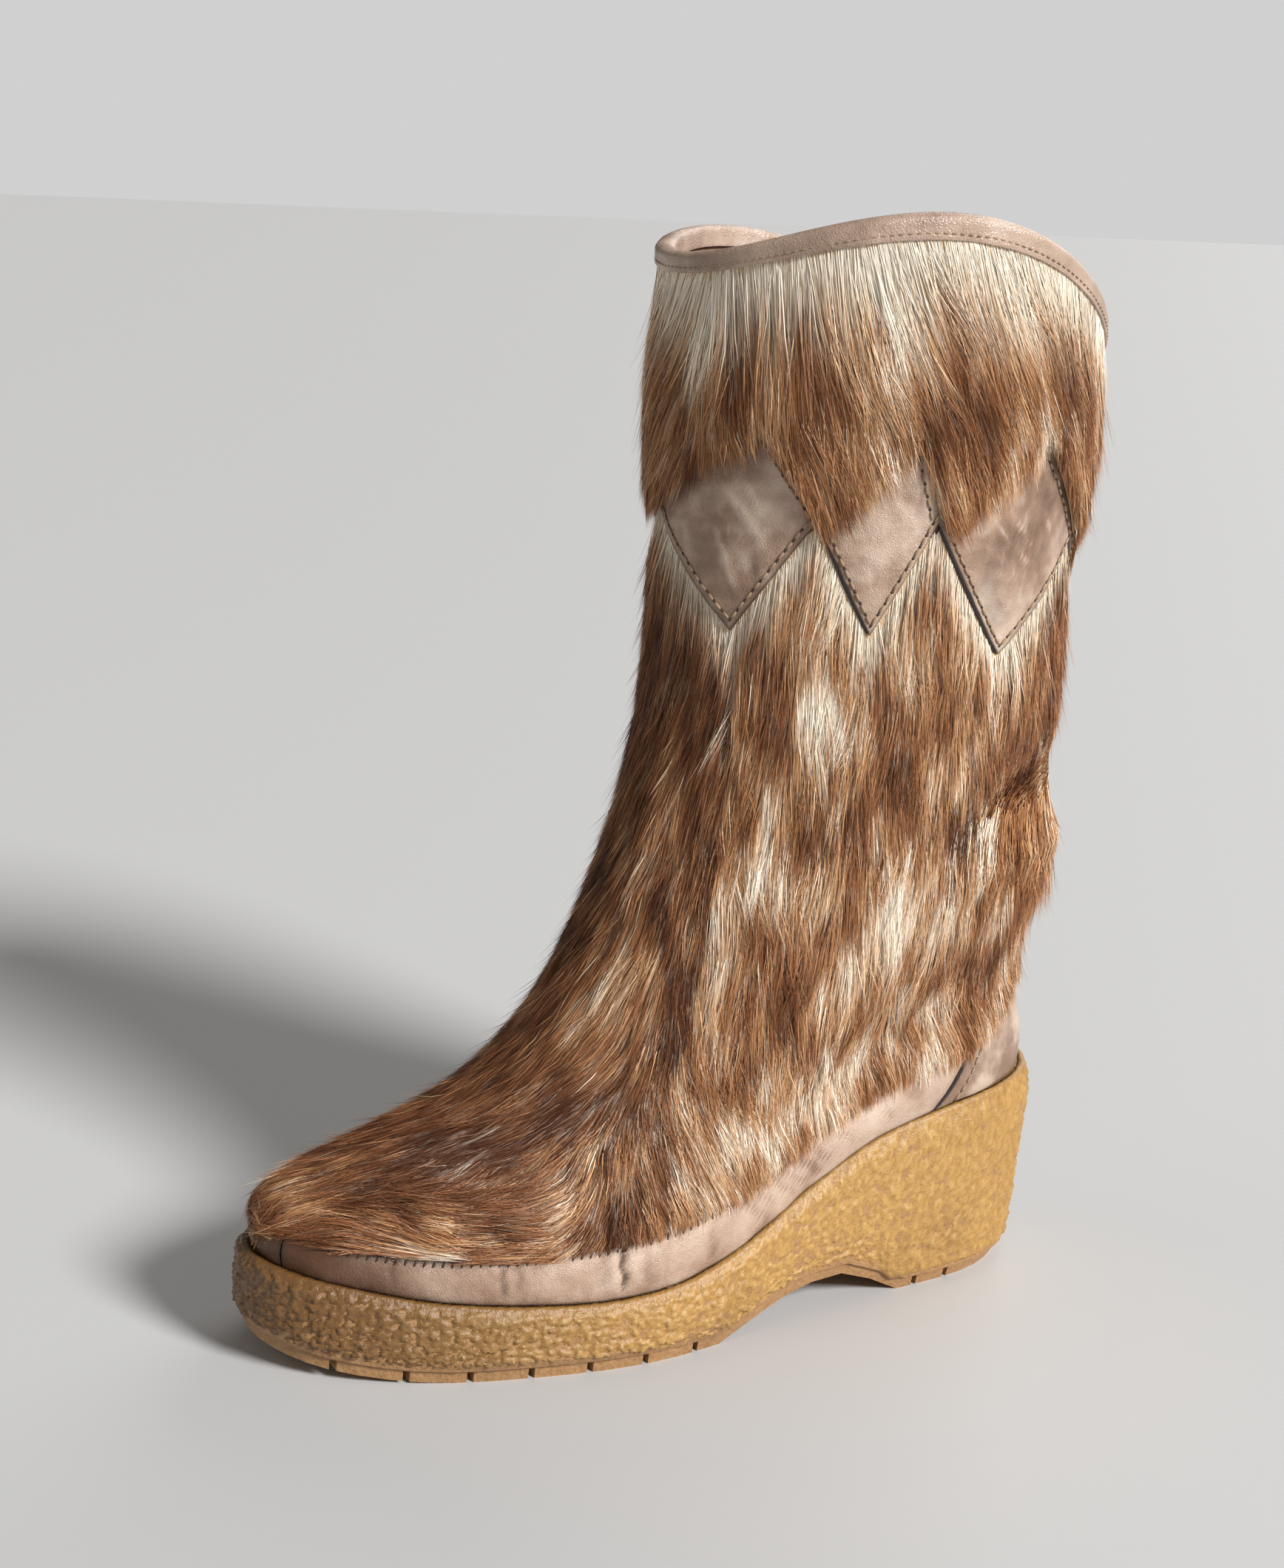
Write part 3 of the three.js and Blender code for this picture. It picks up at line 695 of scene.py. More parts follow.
class Grain:
    """Shader node group: fine leather grain, pores and wandering veins."""

    group: bpy.types.NodeTree | None = None
    pores: float = 1500.0
    pore_share: float = 0.55
    soft: float = 210.0
    broad: float = 42.0
    veins: float = 150.0
    vein_share: float = 0.9
    vein_limits: dict[str, float] = {"From Min": 0.7, "From Max": 0.92}
    patch_limits: dict[str, float] = {"From Min": 0.42, "From Max": 0.62}

    @classmethod
    def tree(cls) -> bpy.types.NodeTree:
        """Builds the group when it is first asked for.

        Returns:
            The group.
        """
        if cls.group is None:
            cls.group = cls.build()
        return cls.group

    @classmethod
    def build(cls) -> bpy.types.NodeTree:
        """Builds the group.

        Returns:
            A tree with the input Scale and the outputs Height, Mottle and Vein.
        """
        tree = bpy.data.node_groups.new("leather grain", "ShaderNodeTree")
        tree.interface.new_socket("Scale", in_out="INPUT", socket_type="NodeSocketFloat")
        for name in ("Height", "Mottle", "Vein"):
            tree.interface.new_socket(name, in_out="OUTPUT", socket_type="NodeSocketFloat")
        nodes = Nodes(tree)
        given = nodes.add("NodeGroupInput").outputs["Scale"]
        place_on = nodes.add("ShaderNodeTexCoord").outputs["Object"]
        cells = {"Vector": place_on, "Scale": nodes.math("MULTIPLY", given, cls.pores)}
        cell = nodes.add("ShaderNodeTexVoronoi", cells, feature="DISTANCE_TO_EDGE").outputs["Distance"]
        soft = nodes.noise(place_on, cls.soft, 6.0, 0.62)
        broad = nodes.noise(place_on, cls.broad, 6.0, 0.62)
        ridge = nodes.add(
            "ShaderNodeTexNoise",
            {"Vector": place_on, "Scale": cls.veins, "Detail": 3.0, "Roughness": 0.5, "Distortion": 0.5},
            noise_type="RIDGED_MULTIFRACTAL",
            normalize=True,
        )
        line = nodes.span(ridge.outputs["Fac"], cls.vein_limits)
        vein = nodes.math("MULTIPLY", line, nodes.span(broad, cls.patch_limits))
        grainy = nodes.math("ADD", nodes.math("MULTIPLY", cell, cls.pore_share), soft)
        height = nodes.math("MULTIPLY_ADD", vein, cls.vein_share, grainy)
        nodes.add("NodeGroupOutput", {"Height": height, "Mottle": broad, "Vein": vein})
        return tree


@dataclass(frozen=True)
class LeatherFinish:
    """A smooth leather: light veins; ridges and marked places lighter with wear and painted highlight;
    painted shade in its creases; darkened cut edges with painted shade along them; a patina with painted
    shade where a mark asks.
    """

    name: str
    dark: Colour
    middle: Colour
    light: Colour
    rough: float
    grain: float
    # Colour of darkened cut edges, also painted as shade along the edges and in creases; the next field is
    # its share along the edges.
    edge: Colour = linear(44, 30, 22)
    dark_edge_and_shade: float = 0.85
    # Share of painted shade in creases.
    groove: float = 0.7
    # Colour of the toe's patina with painted shade.
    stain_and_shade: Colour = linear(84, 50, 26)
    gloss: float = 0.8
    mottle: Table = (0.32, 0.5, 0.7)
    veined: float = 0.75
    # Share of lightening on ridges and marked places: wear with painted highlight.
    highlight_and_wear: float = 0.75

    def material(self) -> Finish:
        """Builds the material.

        Returns:
            The material, which reads the marks rim and relief and the mark of the toe's patina with painted
            shade.
        """
        made, nodes, shader = Nodes.of_material(self.name)
        grain = nodes.add("ShaderNodeGroup", {"Scale": self.grain}, node_tree=Grain.tree())
        relief = nodes.mark("relief")
        colour = nodes.ramp(grain.outputs["Mottle"], self.mottle, (self.dark, self.middle, self.light))
        layers = (
            (nodes.math("MULTIPLY", grain.outputs["Vein"], self.veined), self.light),
            # Ridges and marked places lightened: wear with painted highlight.
            (nodes.span(relief, {"To Max": self.highlight_and_wear}), self.light),
            # Creases darkened: painted shade.
            (nodes.span(relief, {"From Max": -1.0, "To Max": self.groove}), self.edge),
            # The toe's patina with painted shade.
            (nodes.mark("stain_and_shade"), self.stain_and_shade),
            # Darker along cut edges: darkened edges with painted shade.
            (nodes.math("MULTIPLY", nodes.mark("rim"), self.dark_edge_and_shade), self.edge),
        )
        for share, over in layers:
            colour = nodes.blend(share, colour, over)
        nodes.fill(
            shader,
            {
                "Base Color": colour,
                "Normal": nodes.bump(grain.outputs["Height"]),
                "Roughness": self.rough,
                "Specular IOR Level": self.gloss,
            },
        )
        return made


@dataclass(frozen=True)
class HairFinish:
    """Hair whose colour rides on each strand as an attribute."""

    name: str
    attribute: str = "hair_colour"
    rough: float = 0.36
    gloss: float = 0.22
    sheen: Colour = (1.0, 0.84, 0.66)

    def material(self) -> Finish:
        """Builds the material.

        Returns:
            The material.
        """
        made, nodes, shader = Nodes.of_material(self.name)
        colour = nodes.add("ShaderNodeAttribute", attribute_name=self.attribute)
        nodes.fill(
            shader,
            {
                "Base Color": colour.outputs["Color"],
                "Roughness": self.rough,
                "Specular IOR Level": self.gloss,
                "Specular Tint": (*self.sheen, 1),
            },
        )
        return made


@dataclass(frozen=True)
class CrepeFinish:
    """Amber crepe rubber: darker in its hollows as painted shade, darker towards the toe with scuffs and
    painted shade, and smooth where no mark for lumps is named.
    """

    name: str
    clean: Colour
    ochre: Colour
    # Dark colour: painted as shade in the hollows, and the blotches' colour.
    hollow_shade_and_blotch: Colour
    lumps: str
    rough: float
    # Colour and share of the darkening towards the toe: scuffs with painted shade.
    grime_and_shade_colour: Colour = linear(96, 62, 30)
    grime_and_shade_share: float = 0.82
    gloss: float = 0.55
    crumb: float = 640.0
    blotch: float = 34.0
    blotch_limits: Table = (0.52, 0.78, 0.5)
    levels: Table = (0.1, 0.3, 0.62)
    lump_gain: float = 0.6
    lump_base: float = 0.22

    def material(self) -> Finish:
        """Builds the material.

        Returns:
            The material, which reads the mark of the toe's scuffs with painted shade and, if it is named,
            lumps.
        """
        made, nodes, shader = Nodes.of_material(self.name)
        place_on = nodes.add("ShaderNodeTexCoord").outputs["Object"]
        crumb = nodes.noise(place_on, self.crumb, 4.0, 0.6)
        blotch = nodes.noise(place_on, self.blotch, 5.0, 0.65)
        height = crumb
        if self.lumps:
            height = nodes.math("MULTIPLY_ADD", nodes.mark(self.lumps), self.lump_gain, self.lump_base)
        # Darker in the hollows: painted shade.
        body = nodes.ramp(height, self.levels, (self.hollow_shade_and_blotch, self.ochre, self.clean))
        limits = dict(zip(("From Min", "From Max", "To Max"), self.blotch_limits))
        stained = nodes.blend(nodes.span(blotch, limits), body, self.hollow_shade_and_blotch)
        # Darker towards the toe: scuffs with painted shade.
        toe_grime_and_shade_amount = nodes.math("MULTIPLY", nodes.mark("toe_grime_and_shade"), self.grime_and_shade_share)
        nodes.fill(
            shader,
            {
                "Base Color": nodes.blend(toe_grime_and_shade_amount, stained, self.grime_and_shade_colour),
                "Normal": nodes.bump(crumb),
                "Roughness": self.rough,
                "Specular IOR Level": self.gloss,
            },
        )
        return made


@dataclass(frozen=True)
class PlainFinish:
    """One even colour, for thread and the room."""

    name: str
    colour: Colour
    rough: float

    def material(self) -> Finish:
        """Builds the material.

        Returns:
            The material.
        """
        made, nodes, shader = Nodes.of_material(self.name)
        nodes.fill(shader, {"Base Color": (*self.colour, 1), "Roughness": self.rough})
        return made


TAUPE = LeatherFinish(
    "taupe leather", linear(130, 101, 82), linear(163, 134, 114), linear(210, 188, 169),
    rough=0.4, grain=1.0, groove=0.35, gloss=0.45,
)
COUNTER = replace(TAUPE, name="counter leather", middle=linear(146, 118, 99))
BINDING = LeatherFinish(
    "binding leather", linear(146, 121, 105), linear(182, 156, 137), linear(206, 184, 166),
    rough=0.3, grain=0.8, gloss=0.6,
)
RAND = LeatherFinish(
    "rand leather", linear(146, 116, 97), linear(177, 148, 128), linear(212, 189, 170),
    rough=0.36, grain=1.0, gloss=0.4,
)
LINING = LeatherFinish(
    "lining leather", linear(120, 92, 78), linear(158, 126, 108), linear(182, 152, 134),
    rough=0.5, grain=1.2, dark_edge_and_shade=0.0, gloss=0.3,
)
SKIN = LeatherFinish(
    "underhair", linear(128, 92, 62), linear(176, 138, 102), linear(216, 186, 150),
    rough=0.85, grain=1.0, dark_edge_and_shade=0.0, gloss=0.1,
)
HAIR = HairFinish("mottled hair")
# For the crepe and the tread, the third colour is painted as shade in the hollows and is also the blotches'
# colour.
CREPE = CrepeFinish(
    "amber crepe", linear(198, 161, 100), linear(178, 136, 74), linear(120, 84, 44), "lump_height", 0.36
)
GUM = CrepeFinish("gum tread", linear(168, 128, 84), linear(146, 106, 66), linear(100, 70, 44), "", 0.55)
THREAD = PlainFinish("thread", linear(158, 132, 104), 0.7)
# Thread of the whip stitches; the same dark beads are painted shade in the holes between stitches.
DARK_THREAD_AND_HOLE_SHADE = PlainFinish("dark thread and hole shade", linear(70, 50, 38), 0.7)
# Near-black beads: darkened cut edges with the painted shadow of the gaps beside them.
CUT_EDGE_AND_GAP_SHADE = PlainFinish("dark cut edge and gap shade", linear(38, 28, 24), 0.25)
FLOOR = PlainFinish("pale floor", (0.55, 0.55, 0.55), 0.6)


@dataclass
class Sheet:
    """A piece of leather cut to an outline on the last.

    Attributes:
        name: The piece's name.
        turn: A column's angle at a height.
        low: Height of the lower edge, by column.
        high: Height of the upper edge, by column.
        columns: The columns.
        rows: How many steps there are up each column.
        out: Distance of the outer face from the last.
        thick: Thickness.
        ring: True if the columns go all the way round.
        rounding: Rounding of its edges.
        crease: Height added to the outer face at angles and heights, in millimetres.
        rim_reach: How far in from its edges they are darkened, for darker cut edges with painted shade along
            them, in millimetres.
        relief: Depth of a crease that is fully darkened with painted shade, and height of a ridge that is
            fully lightened with wear and painted highlight, in millimetres.
        toe_stain_and_shade: How much patina and painted shade darken it round the toe, from 0 to 1.
        back_highlight: How much lighter it is towards the back, as painted highlight, from 0 to 1.
        stain_and_shade_span: Angles from the toe between which the patina and painted shade end, in degrees.
        light_span: Angles from the toe between which the painted highlight towards the back starts, in
            degrees.
        groove_span: Heights of a crease between which the painted highlight towards the back fades out, in
            millimetres.
    """

    name: str
    turn: Turn
    low: Edge
    high: Edge
    columns: Array
    rows: int
    out: float = 1.85
    thick: float = 1.5
    ring: bool = False
    rounding: float = 0.45
    crease: Callable[[Array, Array], Array] | None = None
    rim_reach: float = 0.9
    relief: float = 0.9
    toe_stain_and_shade: float = 0.0
    back_highlight: float = 0.0
    stain_and_shade_span: Span = (20, 62)
    light_span: Span = (76, 112)
    groove_span: Span = (-0.3, -0.05)

    def build(self) -> Piece:
        """Makes the sheet and thickens it.

        Returns:
            The piece, with the marks rim and relief and the mark of the toe's patina with painted shade at
            its points.
        """
        share = np.linspace(0, 1, self.rows + 1)[:, None]
        low = self.low(self.columns)[None]
        v = low + (self.high(self.columns)[None] - low) * share
        w = np.broadcast_to(self.columns[None], v.shape)
        u = self.turn(w, v)
        raised = self.crease(u, v) if self.crease else np.zeros(v.shape)
        places = LAST.offset(u, v, self.out + raised)
        from_toe = np.abs(wrapped(u))
        # Patina with painted shade round the toe.
        stain_and_shade = self.toe_stain_and_shade * (1 - smooth_step(*self.stain_and_shade_span, from_toe))
        # Painted highlight towards the back, left out of creases.
        highlight_and_wear = self.back_highlight * smooth_step(*self.light_span, from_toe)
        highlight_and_wear = highlight_and_wear * smooth_step(*self.groove_span, raised)
        marks = {"rim": self.rim(places), "stain_and_shade": stain_and_shade, "relief": raised / self.relief + highlight_and_wear}
        piece = grid_piece(self.name, places, self.ring, marks)
        thicken(piece, self.thick, self.rounding)
        return piece

    def rim(self, places: Array) -> Array:
        """How near the sheet's points are to a cut edge.

        Args:
            places: The points, by row and column.

        Returns:
            Shares from 0 to 1.
        """
        up = run_along(places)
        near = np.minimum(up, up[-1:] - up)
        if not self.ring:
            run = run_along(places, axis=1)
            near = np.minimum(near, np.minimum(run, run[:, -1:] - run))
        return np.exp(-near / self.rim_reach)


@dataclass
class Stitching:
    """Rows of stitches along lines on the last, as one piece. Lengths are in millimetres.

    Attributes:
        name: The piece's name.
        length: A stitch's length.
        width: A stitch's width.
        pitch: From one stitch to the next.
        across: Turn of each stitch from the line, in radians.
        shift: Place of the first stitch, as a share of the pitch.
        squash: A stitch's width over its rise.
        corners: Points of the stitches sewn so far.
        faces: Faces of the stitches sewn so far.
    """

    name: str
    length: float = 2.9
    width: float = 0.8
    pitch: float = 3.9
    across: float = 0.0
    shift: float = 0.5
    squash: float = 2.4
    corners: list[Array] = field(default_factory=list)
    faces: list[Array] = field(default_factory=list)

    def bead(self) -> tuple[Array, Array]:
        """Models one stitch about the origin: a rounded bead along X.

        Returns:
            Its points and its faces.
        """
        bpy.ops.object.select_all(action="DESELECT")
        bpy.ops.mesh.primitive_uv_sphere_add(segments=6, ring_count=5, radius=1)
        ball = bpy.context.object
        places = points_of(ball)[:, [2, 0, 1]]
        outlines = [tuple(face.vertices) for face in ball.data.polygons]
        faces = np.array([(*corners, *([-1] * (4 - len(corners)))) for corners in outlines])
        bpy.data.objects.remove(ball)
        return places * [self.length / 2, self.width / 2, self.width / self.squash], faces

    def along(self, u: Array, v: Array, out: Array) -> None:
        """Sews a row along a line of places.

        Args:
            u: Angles of the line's points.
            v: Heights of the line's points.
            out: Distances from the last.
        """
        near = 0.5
        line = LAST.offset(u, v, out)
        run = run_along(line)
        count = int(run[-1] / self.pitch)
        if count < 1:
            return
        at = (np.arange(count) + self.shift) * run[-1] / count
        su, sv, so = (np.interp(at, run, values) for values in (u, v, out))
        middle = LAST.offset(su, sv, so)
        before, after = (
            np.stack([np.interp(at + step, run, line[:, k]) for k in range(3)], -1) for step in (-near, near)
        )
        ahead = unit(after - before)
        up = LAST.normal(su, sv)
        side = unit(np.cross(up, ahead))
        turned = ahead * math.cos(self.across) + side * math.sin(self.across)
        cross = np.cross(up, turned)
        bead, faces = self.bead()
        for k in range(count):
            first = sum(len(part) for part in self.corners)
            self.corners.append(middle[k] + bead @ np.stack([turned[k], cross[k], up[k]]))
            self.faces.append(np.where(faces >= 0, faces + first, -1))

    def build(self) -> Piece:
        """Joins the rows into one piece."""
        return mesh_piece(self.name, np.concatenate(self.corners) * MM, np.concatenate(self.faces))


@dataclass(frozen=True)
class Patch:
    """A patch on the last that fades out at its edges.

    Attributes:
        angle: Its middle round the last, in degrees.
        height: Its middle up the last, in sections.
        spread: Its half-width, in degrees.
        reach: Its half-height, in sections.
        strength: What it adds at its middle. Hair gets paler by it, or darker where it is below 0.
    """

    angle: float
    height: float
    spread: float
    reach: float
    strength: float

    def at(self, u: Array, v: Array) -> Array:
        """What the patch adds at angles u and heights v."""
        round_off = ((wrapped(u) - self.angle + 180) % 360 - 180) / self.spread
        return self.strength * np.exp(-(round_off**2) - ((v - self.height) / self.reach) ** 2)


FRONT_PATCHES = (
    Patch(10, 8.9, 14, 1.0, 0.04),
    Patch(18, 7.7, 7, 0.4, 0.28),
    Patch(24, 9.5, 7, 0.25, 0.3),
    Patch(38, 5.0, 14, 0.7, -0.15),
    Patch(20, 6.5, 16, 0.5, 0.15),
    Patch(70, 3.4, 7, 0.7, 0.25),
    Patch(44, 4.0, 12, 0.5, 0.1),
    # Darker over the vamp: partly the hair's own colour, partly painted shade where the front turns from the
    # light.
    Patch(26, 4.0, 30, 0.9, -0.17),
    Patch(0, 2.3, 40, 0.45, 0.28),
)
BACK_PATCHES = (
    Patch(56, 9.05, 8, 0.4, 0.45),
    Patch(70, 9.6, 5, 0.2, 0.25),
    Patch(107, 9.45, 6, 0.3, 0.4),
    Patch(45, 8.75, 8, 0.3, -0.3),
    Patch(77, 8.7, 8, 0.35, -0.3),
    # Painted shadow in the ankle fold's crease.
    Patch(102, 7.94, 10, 0.18, -0.5),
    Patch(126, 8.3, 18, 0.35, -0.2),
    # Painted shadow in the ankle fold's crease.
    Patch(114, 8.02, 16, 0.16, -0.4),
    Patch(105, 7.5, 20, 0.5, 0.08),
    Patch(63, 8.0, 11, 0.25, -0.2),
    Patch(47, 7.65, 6, 0.5, 0.3),
    Patch(88, 6.7, 14, 0.5, 0.12),
    Patch(138, 5.2, 12, 0.8, -0.25),
    Patch(66, 6.3, 9, 0.5, -0.15),
    Patch(98, 2.9, 16, 0.9, 0.2),
    Patch(130, 8.9, 14, 0.5, -0.1),
)
CUFF_PATCHES = (
    Patch(36, 11.45, 13, 0.25, -0.4),
    Patch(66, 11.2, 7, 0.3, 0.22),
    Patch(9.5, 11.15, 5, 0.4, 0.4),
    Patch(49, 10.9, 9, 0.25, -0.2),
    Patch(81, 10.85, 10, 0.25, -0.25),
    Patch(98, 11.45, 11, 0.22, 0.35),
    Patch(108, 10.9, 6, 0.2, 0.3),
    Patch(118, 11.2, 12, 0.3, -0.2),
    Patch(-14, 11.1, 12, 0.4, -0.15),
)
ON_UPPER = 0.4
ON_BAND = 2.2
BAND_TOP_SPAN = (11.1, 11.5)


def band_floor(v: Array) -> Array:
    """The cuff's hide lies on the band, and above it on the upper."""
    return ON_BAND + (ON_UPPER - ON_BAND) * smooth_step(*BAND_TOP_SPAN, v)


@dataclass
class Hide:
    """A cut piece of hide on the last.

    Attributes:
        turn: A column's angle at a height.
        low: Height of the lower edge, by column.
        high: Height of the upper edge, by column.
        edge: Height of the lower edge, by angle.
        span: First and last column.
        ring: True if the columns go all the way round.
        floor: Distance of what lies under the hide from the last, in millimetres, by height.
    """

    turn: Turn
    low: Edge
    high: Edge
    edge: Edge
    span: Span = (-1.0, 1.0)
    ring: bool = False
    floor: Edge = level(ON_UPPER)

    def scatter(self, draw: Draw, count: int) -> tuple[Array, Array]:
        """Places spread evenly over the hide.

        Args:
            draw: The random source.
            count: How many are wanted.

        Returns:
            Angle and height of each place.
        """
        step, largest = 1e-3, 0.98
        kept: list[Array] = []
        total = 0
        while total < count:
            w = draw.uniform(*self.span, count)
            low = self.low(w)
            tall = self.high(w) - low
            v = low + tall * draw.uniform(0, 1, count)
            here = LAST.point(self.turn(w, v), v)
            across = (LAST.point(self.turn(w + step, v), v) - here) / step
            down = (LAST.point(self.turn(w, v - step), v - step) - here) / step
            area = np.linalg.norm(np.cross(across, down), axis=-1) * tall
            keep = draw.uniform(0, 1, count) < area / np.quantile(area, largest)
            kept.append(np.stack([self.turn(w, v)[keep], v[keep]]))
            total += int(keep.sum())
        u, v = np.concatenate(kept, axis=1)[:, :count]
        return u, v


def ankle_fold(u: Array, v: Array) -> Array:
    """The ankle's fold: a notch over a low roll, on the outer side and the back.

    Args:
        u: Angles of the places.
        v: Heights of the places.

    Returns:
        Heights over the last in millimetres, below 0 in the notch.
    """
    depth, above, below = 9.5, 0.42, 0.2
    swell, drop, reach = 1.8, 0.5, 0.26
    angle = wrapped(u) % 360
    window = smooth_step(88, 130, angle) * (1 - smooth_step(205, 250, angle))
    crease = 7.98 + 0.27 * smooth_step(88, 122, angle) - 0.15 * smooth_step(140, 180, angle)
    over = v - crease
    notch = depth * np.exp(-((over / np.where(over > 0, above, below)) ** 2))
    roll = swell * np.exp(-(((over + drop) / reach) ** 2))
    return window * (roll - notch)


@dataclass
class Coat:
    """The hair of one hide, as flat tapering strands drawn together in locks.

    Attributes:
        name: The piece's name.
        hide: The hide that it grows on.
        flow: How the hair lies.
        count: Number of strands.
        locks: Number of locks.
        seed: Fixes the scatter.
        length: Shortest and longest strand, in millimetres.
        thick: Thickness of the coat, in millimetres.
        overhang: How far tips hang past the hide's lower edge, in millimetres, by angle.
        top: Height of the hide's upper edge, by angle.
        patches: Places where the colour differs.
        pale: How pale the tips are, from 0 dark to 1 cream.
        bare: How much later strands leave their cream root along the upper edge, as a share.
        bare_reach: How far down from that edge they do, in millimetres.
        contrast: How strongly the colour varies.
        width: Width of a strand, in millimetres.
        steps: Points along each strand.
        tints: Colours of the tips, from dark to cream.
        stops: How pale each tint is.
    """

    name: str
    hide: Hide
    flow: Flow
    count: int
    locks: int
    seed: int
    length: Span
    thick: float
    overhang: Edge
    top: Edge
    patches: tuple[Patch, ...] = ()
    pale: float = 0.56
    bare: float = 0.2
    bare_reach: float = 4.0
    contrast: float = 1.3
    width: float = 0.25
    steps: int = 3
    tints: tuple[Colour, ...] = (
        linear(76, 42, 26),
        linear(115, 69, 43),
        linear(160, 104, 66),
        linear(208, 161, 112),
        linear(252, 242, 224),
    )
    stops: Table = (0.04, 0.26, 0.48, 0.7, 0.94)

    def lie(self, u: Array, v: Array) -> Array:
        """Where the hair points.

        Args:
            u: Angles of the places.
            v: Heights of the places.

        Returns:
            A direction in space at each place.
        """
        on_shaft, on_foot, at_rand, rand_lift = 0.1, 2.2, 2.4, 2.8
        run_back, lean = 0.4, 0.45
        angle = wrapped(u)
        forward = np.zeros(np.shape(u))
        aside = np.zeros(np.shape(u))
        down = np.ones(np.shape(u))
        if self.flow is Flow.FORWARD_OVER_FOOT:
            over_foot = 1 - smooth_step(4.5, 8.0, v)
            to_seam = np.abs(np.radians(angle)) / EDGES.seam(v)
            near_rand = 1 - smooth_step(2.5, 5.0, v)
            ahead = 1 - smooth_step(0.4, 1.0, to_seam)
            forward = on_shaft + (on_foot + at_rand * near_rand) * over_foot * ahead
            down = 1 - rand_lift * near_rand * ahead
        if self.flow is Flow.SWEPT_BACK:
            swept = smooth_step(0, 24, angle)
            forward = -run_back * swept
            aside = -lean * (1 - swept) * smooth_step(-90, -40, angle)
        return unit(np.stack([aside, -forward, -down], axis=-1))

    def fold(self, u: Array, v: Array) -> Array:
        """Height of the ankle's fold, which the cuff has no part in."""
        return np.zeros(np.shape(u)) if self.flow is Flow.SWEPT_BACK else ankle_fold(u, v)

    def paths(self, u: Array, v: Array, length: Array, stray: Array, steps: int) -> tuple[Array, Array]:
        """Follows the flow from each root.

        Args:
            u: Angles of the roots.
            v: Heights of the roots.
            length: Lengths of the strands.
            stray: Turn of each strand from the flow.
            steps: How many points each strand has.

        Returns:
            Angles and heights, by strand and point.
        """
        lowest = 0.3
        angles = [u]
        heights = [v]
        step = length / (steps - 1)
        for _ in range(steps - 1):
            round_slope, up_slope = LAST.slopes(u, v)
            normal = unit(np.cross(round_slope, up_slope))
            lie = self.lie(u, v)
            flat = unit(lie - normal * (lie * normal).sum(axis=-1, keepdims=True))
            flat = flat * np.cos(stray)[:, None] + np.cross(normal, flat) * np.sin(stray)[:, None]
            aa, bb, ab = (round_slope**2).sum(-1), (up_slope**2).sum(-1), (round_slope * up_slope).sum(-1)
            da, db = (flat * round_slope).sum(-1), (flat * up_slope).sum(-1)
            spread = aa * bb - ab * ab
            u = u + step * (da * bb - db * ab) / spread
            v = np.clip(v + step * (db * aa - da * ab) / spread, lowest, LAST.top)
            angles.append(u)
            heights.append(v)
        return np.stack(angles, axis=1), np.stack(heights, axis=1)

    def past_edge(self, u: Array, v: Array) -> Array:
        """How far points hang below the hide's lower edge, in millimetres."""
        return (self.hide.edge(u) - v) * np.linalg.norm(LAST.slopes(u, v)[1], axis=-1)

    def trimmed(self, u: Array, v: Array, length: Array, stray: Array, draw: Draw) -> Array:
        """Cuts strands so that tips hang no further past the edge than they should.

        Args:
            u: Angles of the roots.
            v: Heights of the roots.
            length: Lengths of the strands.
            stray: Turn of each strand from the flow.
            draw: The random source.

        Returns:
            The lengths when cut.
        """
        steps, least, most, stump = 6, 0.25, 1.1, 0.05
        path_u, path_v = self.paths(u, v, length, stray, steps)
        allowed = self.overhang(path_u) * draw.uniform(least, most, len(u))[:, None]
        over = self.past_edge(path_u, path_v) > allowed
        first = np.where(over.any(axis=1), over.argmax(axis=1), steps)
        share = np.clip((first - draw.uniform(0, 1, len(u))) / (steps - 1), stump, 1)
        return length * np.where(over.any(axis=1), share, 1)

    def gather(self, u: Array, v: Array, length: Array, guide: Array, draw: Draw) -> tuple[Array, Array]:
        """Draws strands towards the middle strand of their lock.

        Args:
            u: Angles along each strand.
            v: Heights along each strand.
            length: Lengths of the strands.
            guide: Number of the middle strand of each strand's lock.
            draw: The random source.

        Returns:
            Angles and heights, by strand and point.
        """
        gathered, far, bend, up_share = 0.8, 0.5, 1.2, 0.5
        s = np.linspace(0, 1, self.steps)[None]
        pull = far * s**bend * (draw.uniform(0, 1, self.count) < gathered)[:, None]
        pull = pull * np.minimum(1, length / np.maximum(length[guide], 1e-6))[:, None]
        round_off = (u[guide] - u + np.pi) % (2 * np.pi) - np.pi
        return u + pull * round_off, v + pull * up_share * (v[guide] - v)

    def rise(self, u: Array, v: Array, length: Array, lock: Array, draw: Draw) -> Array:
        """Lifts strands off the last.

        Args:
            u: Angles along each strand.
            v: Heights along each strand.
            length: Lengths of the strands.
            lock: Number of each strand's lock.
            draw: The random source.

        Returns:
            Distances from the last, by strand and point.
        """
        lowest_layer, lock_layer, root, full_length, bend = 0.25, 0.14, 0.6, 14, 0.65
        wild_share, tuft_rise, droop, droop_floor = 0.04, 4, 0.3, 2.3
        s = np.linspace(0, 1, self.steps)[None]
        layer = draw.uniform(lowest_layer, 1, self.count) + draw.normal(0, lock_layer, self.locks)[lock]
        lift = s**bend * np.minimum(1, length / full_length)[:, None] ** 0.5
        floor = self.hide.floor(v)
        out = floor + root + self.thick * layer[:, None] * lift
        wild = draw.uniform(0, 1, self.count) < wild_share
        out = out + np.where(wild, draw.uniform(1, 4.5, self.count), 0)[:, None] * s**2
        out = out + self.fold(u, v) * smooth_step(0, 0.4, s)
        tuft = layer * smooth_step(0.4, 1.6, self.fold(u[:, 0], v[:, 0]))
        out = out + tuft_rise * tuft[:, None] * s**2
        past = np.maximum(0, self.past_edge(u, v))
        return np.maximum(np.minimum(out, floor + droop_floor), out - droop * past)

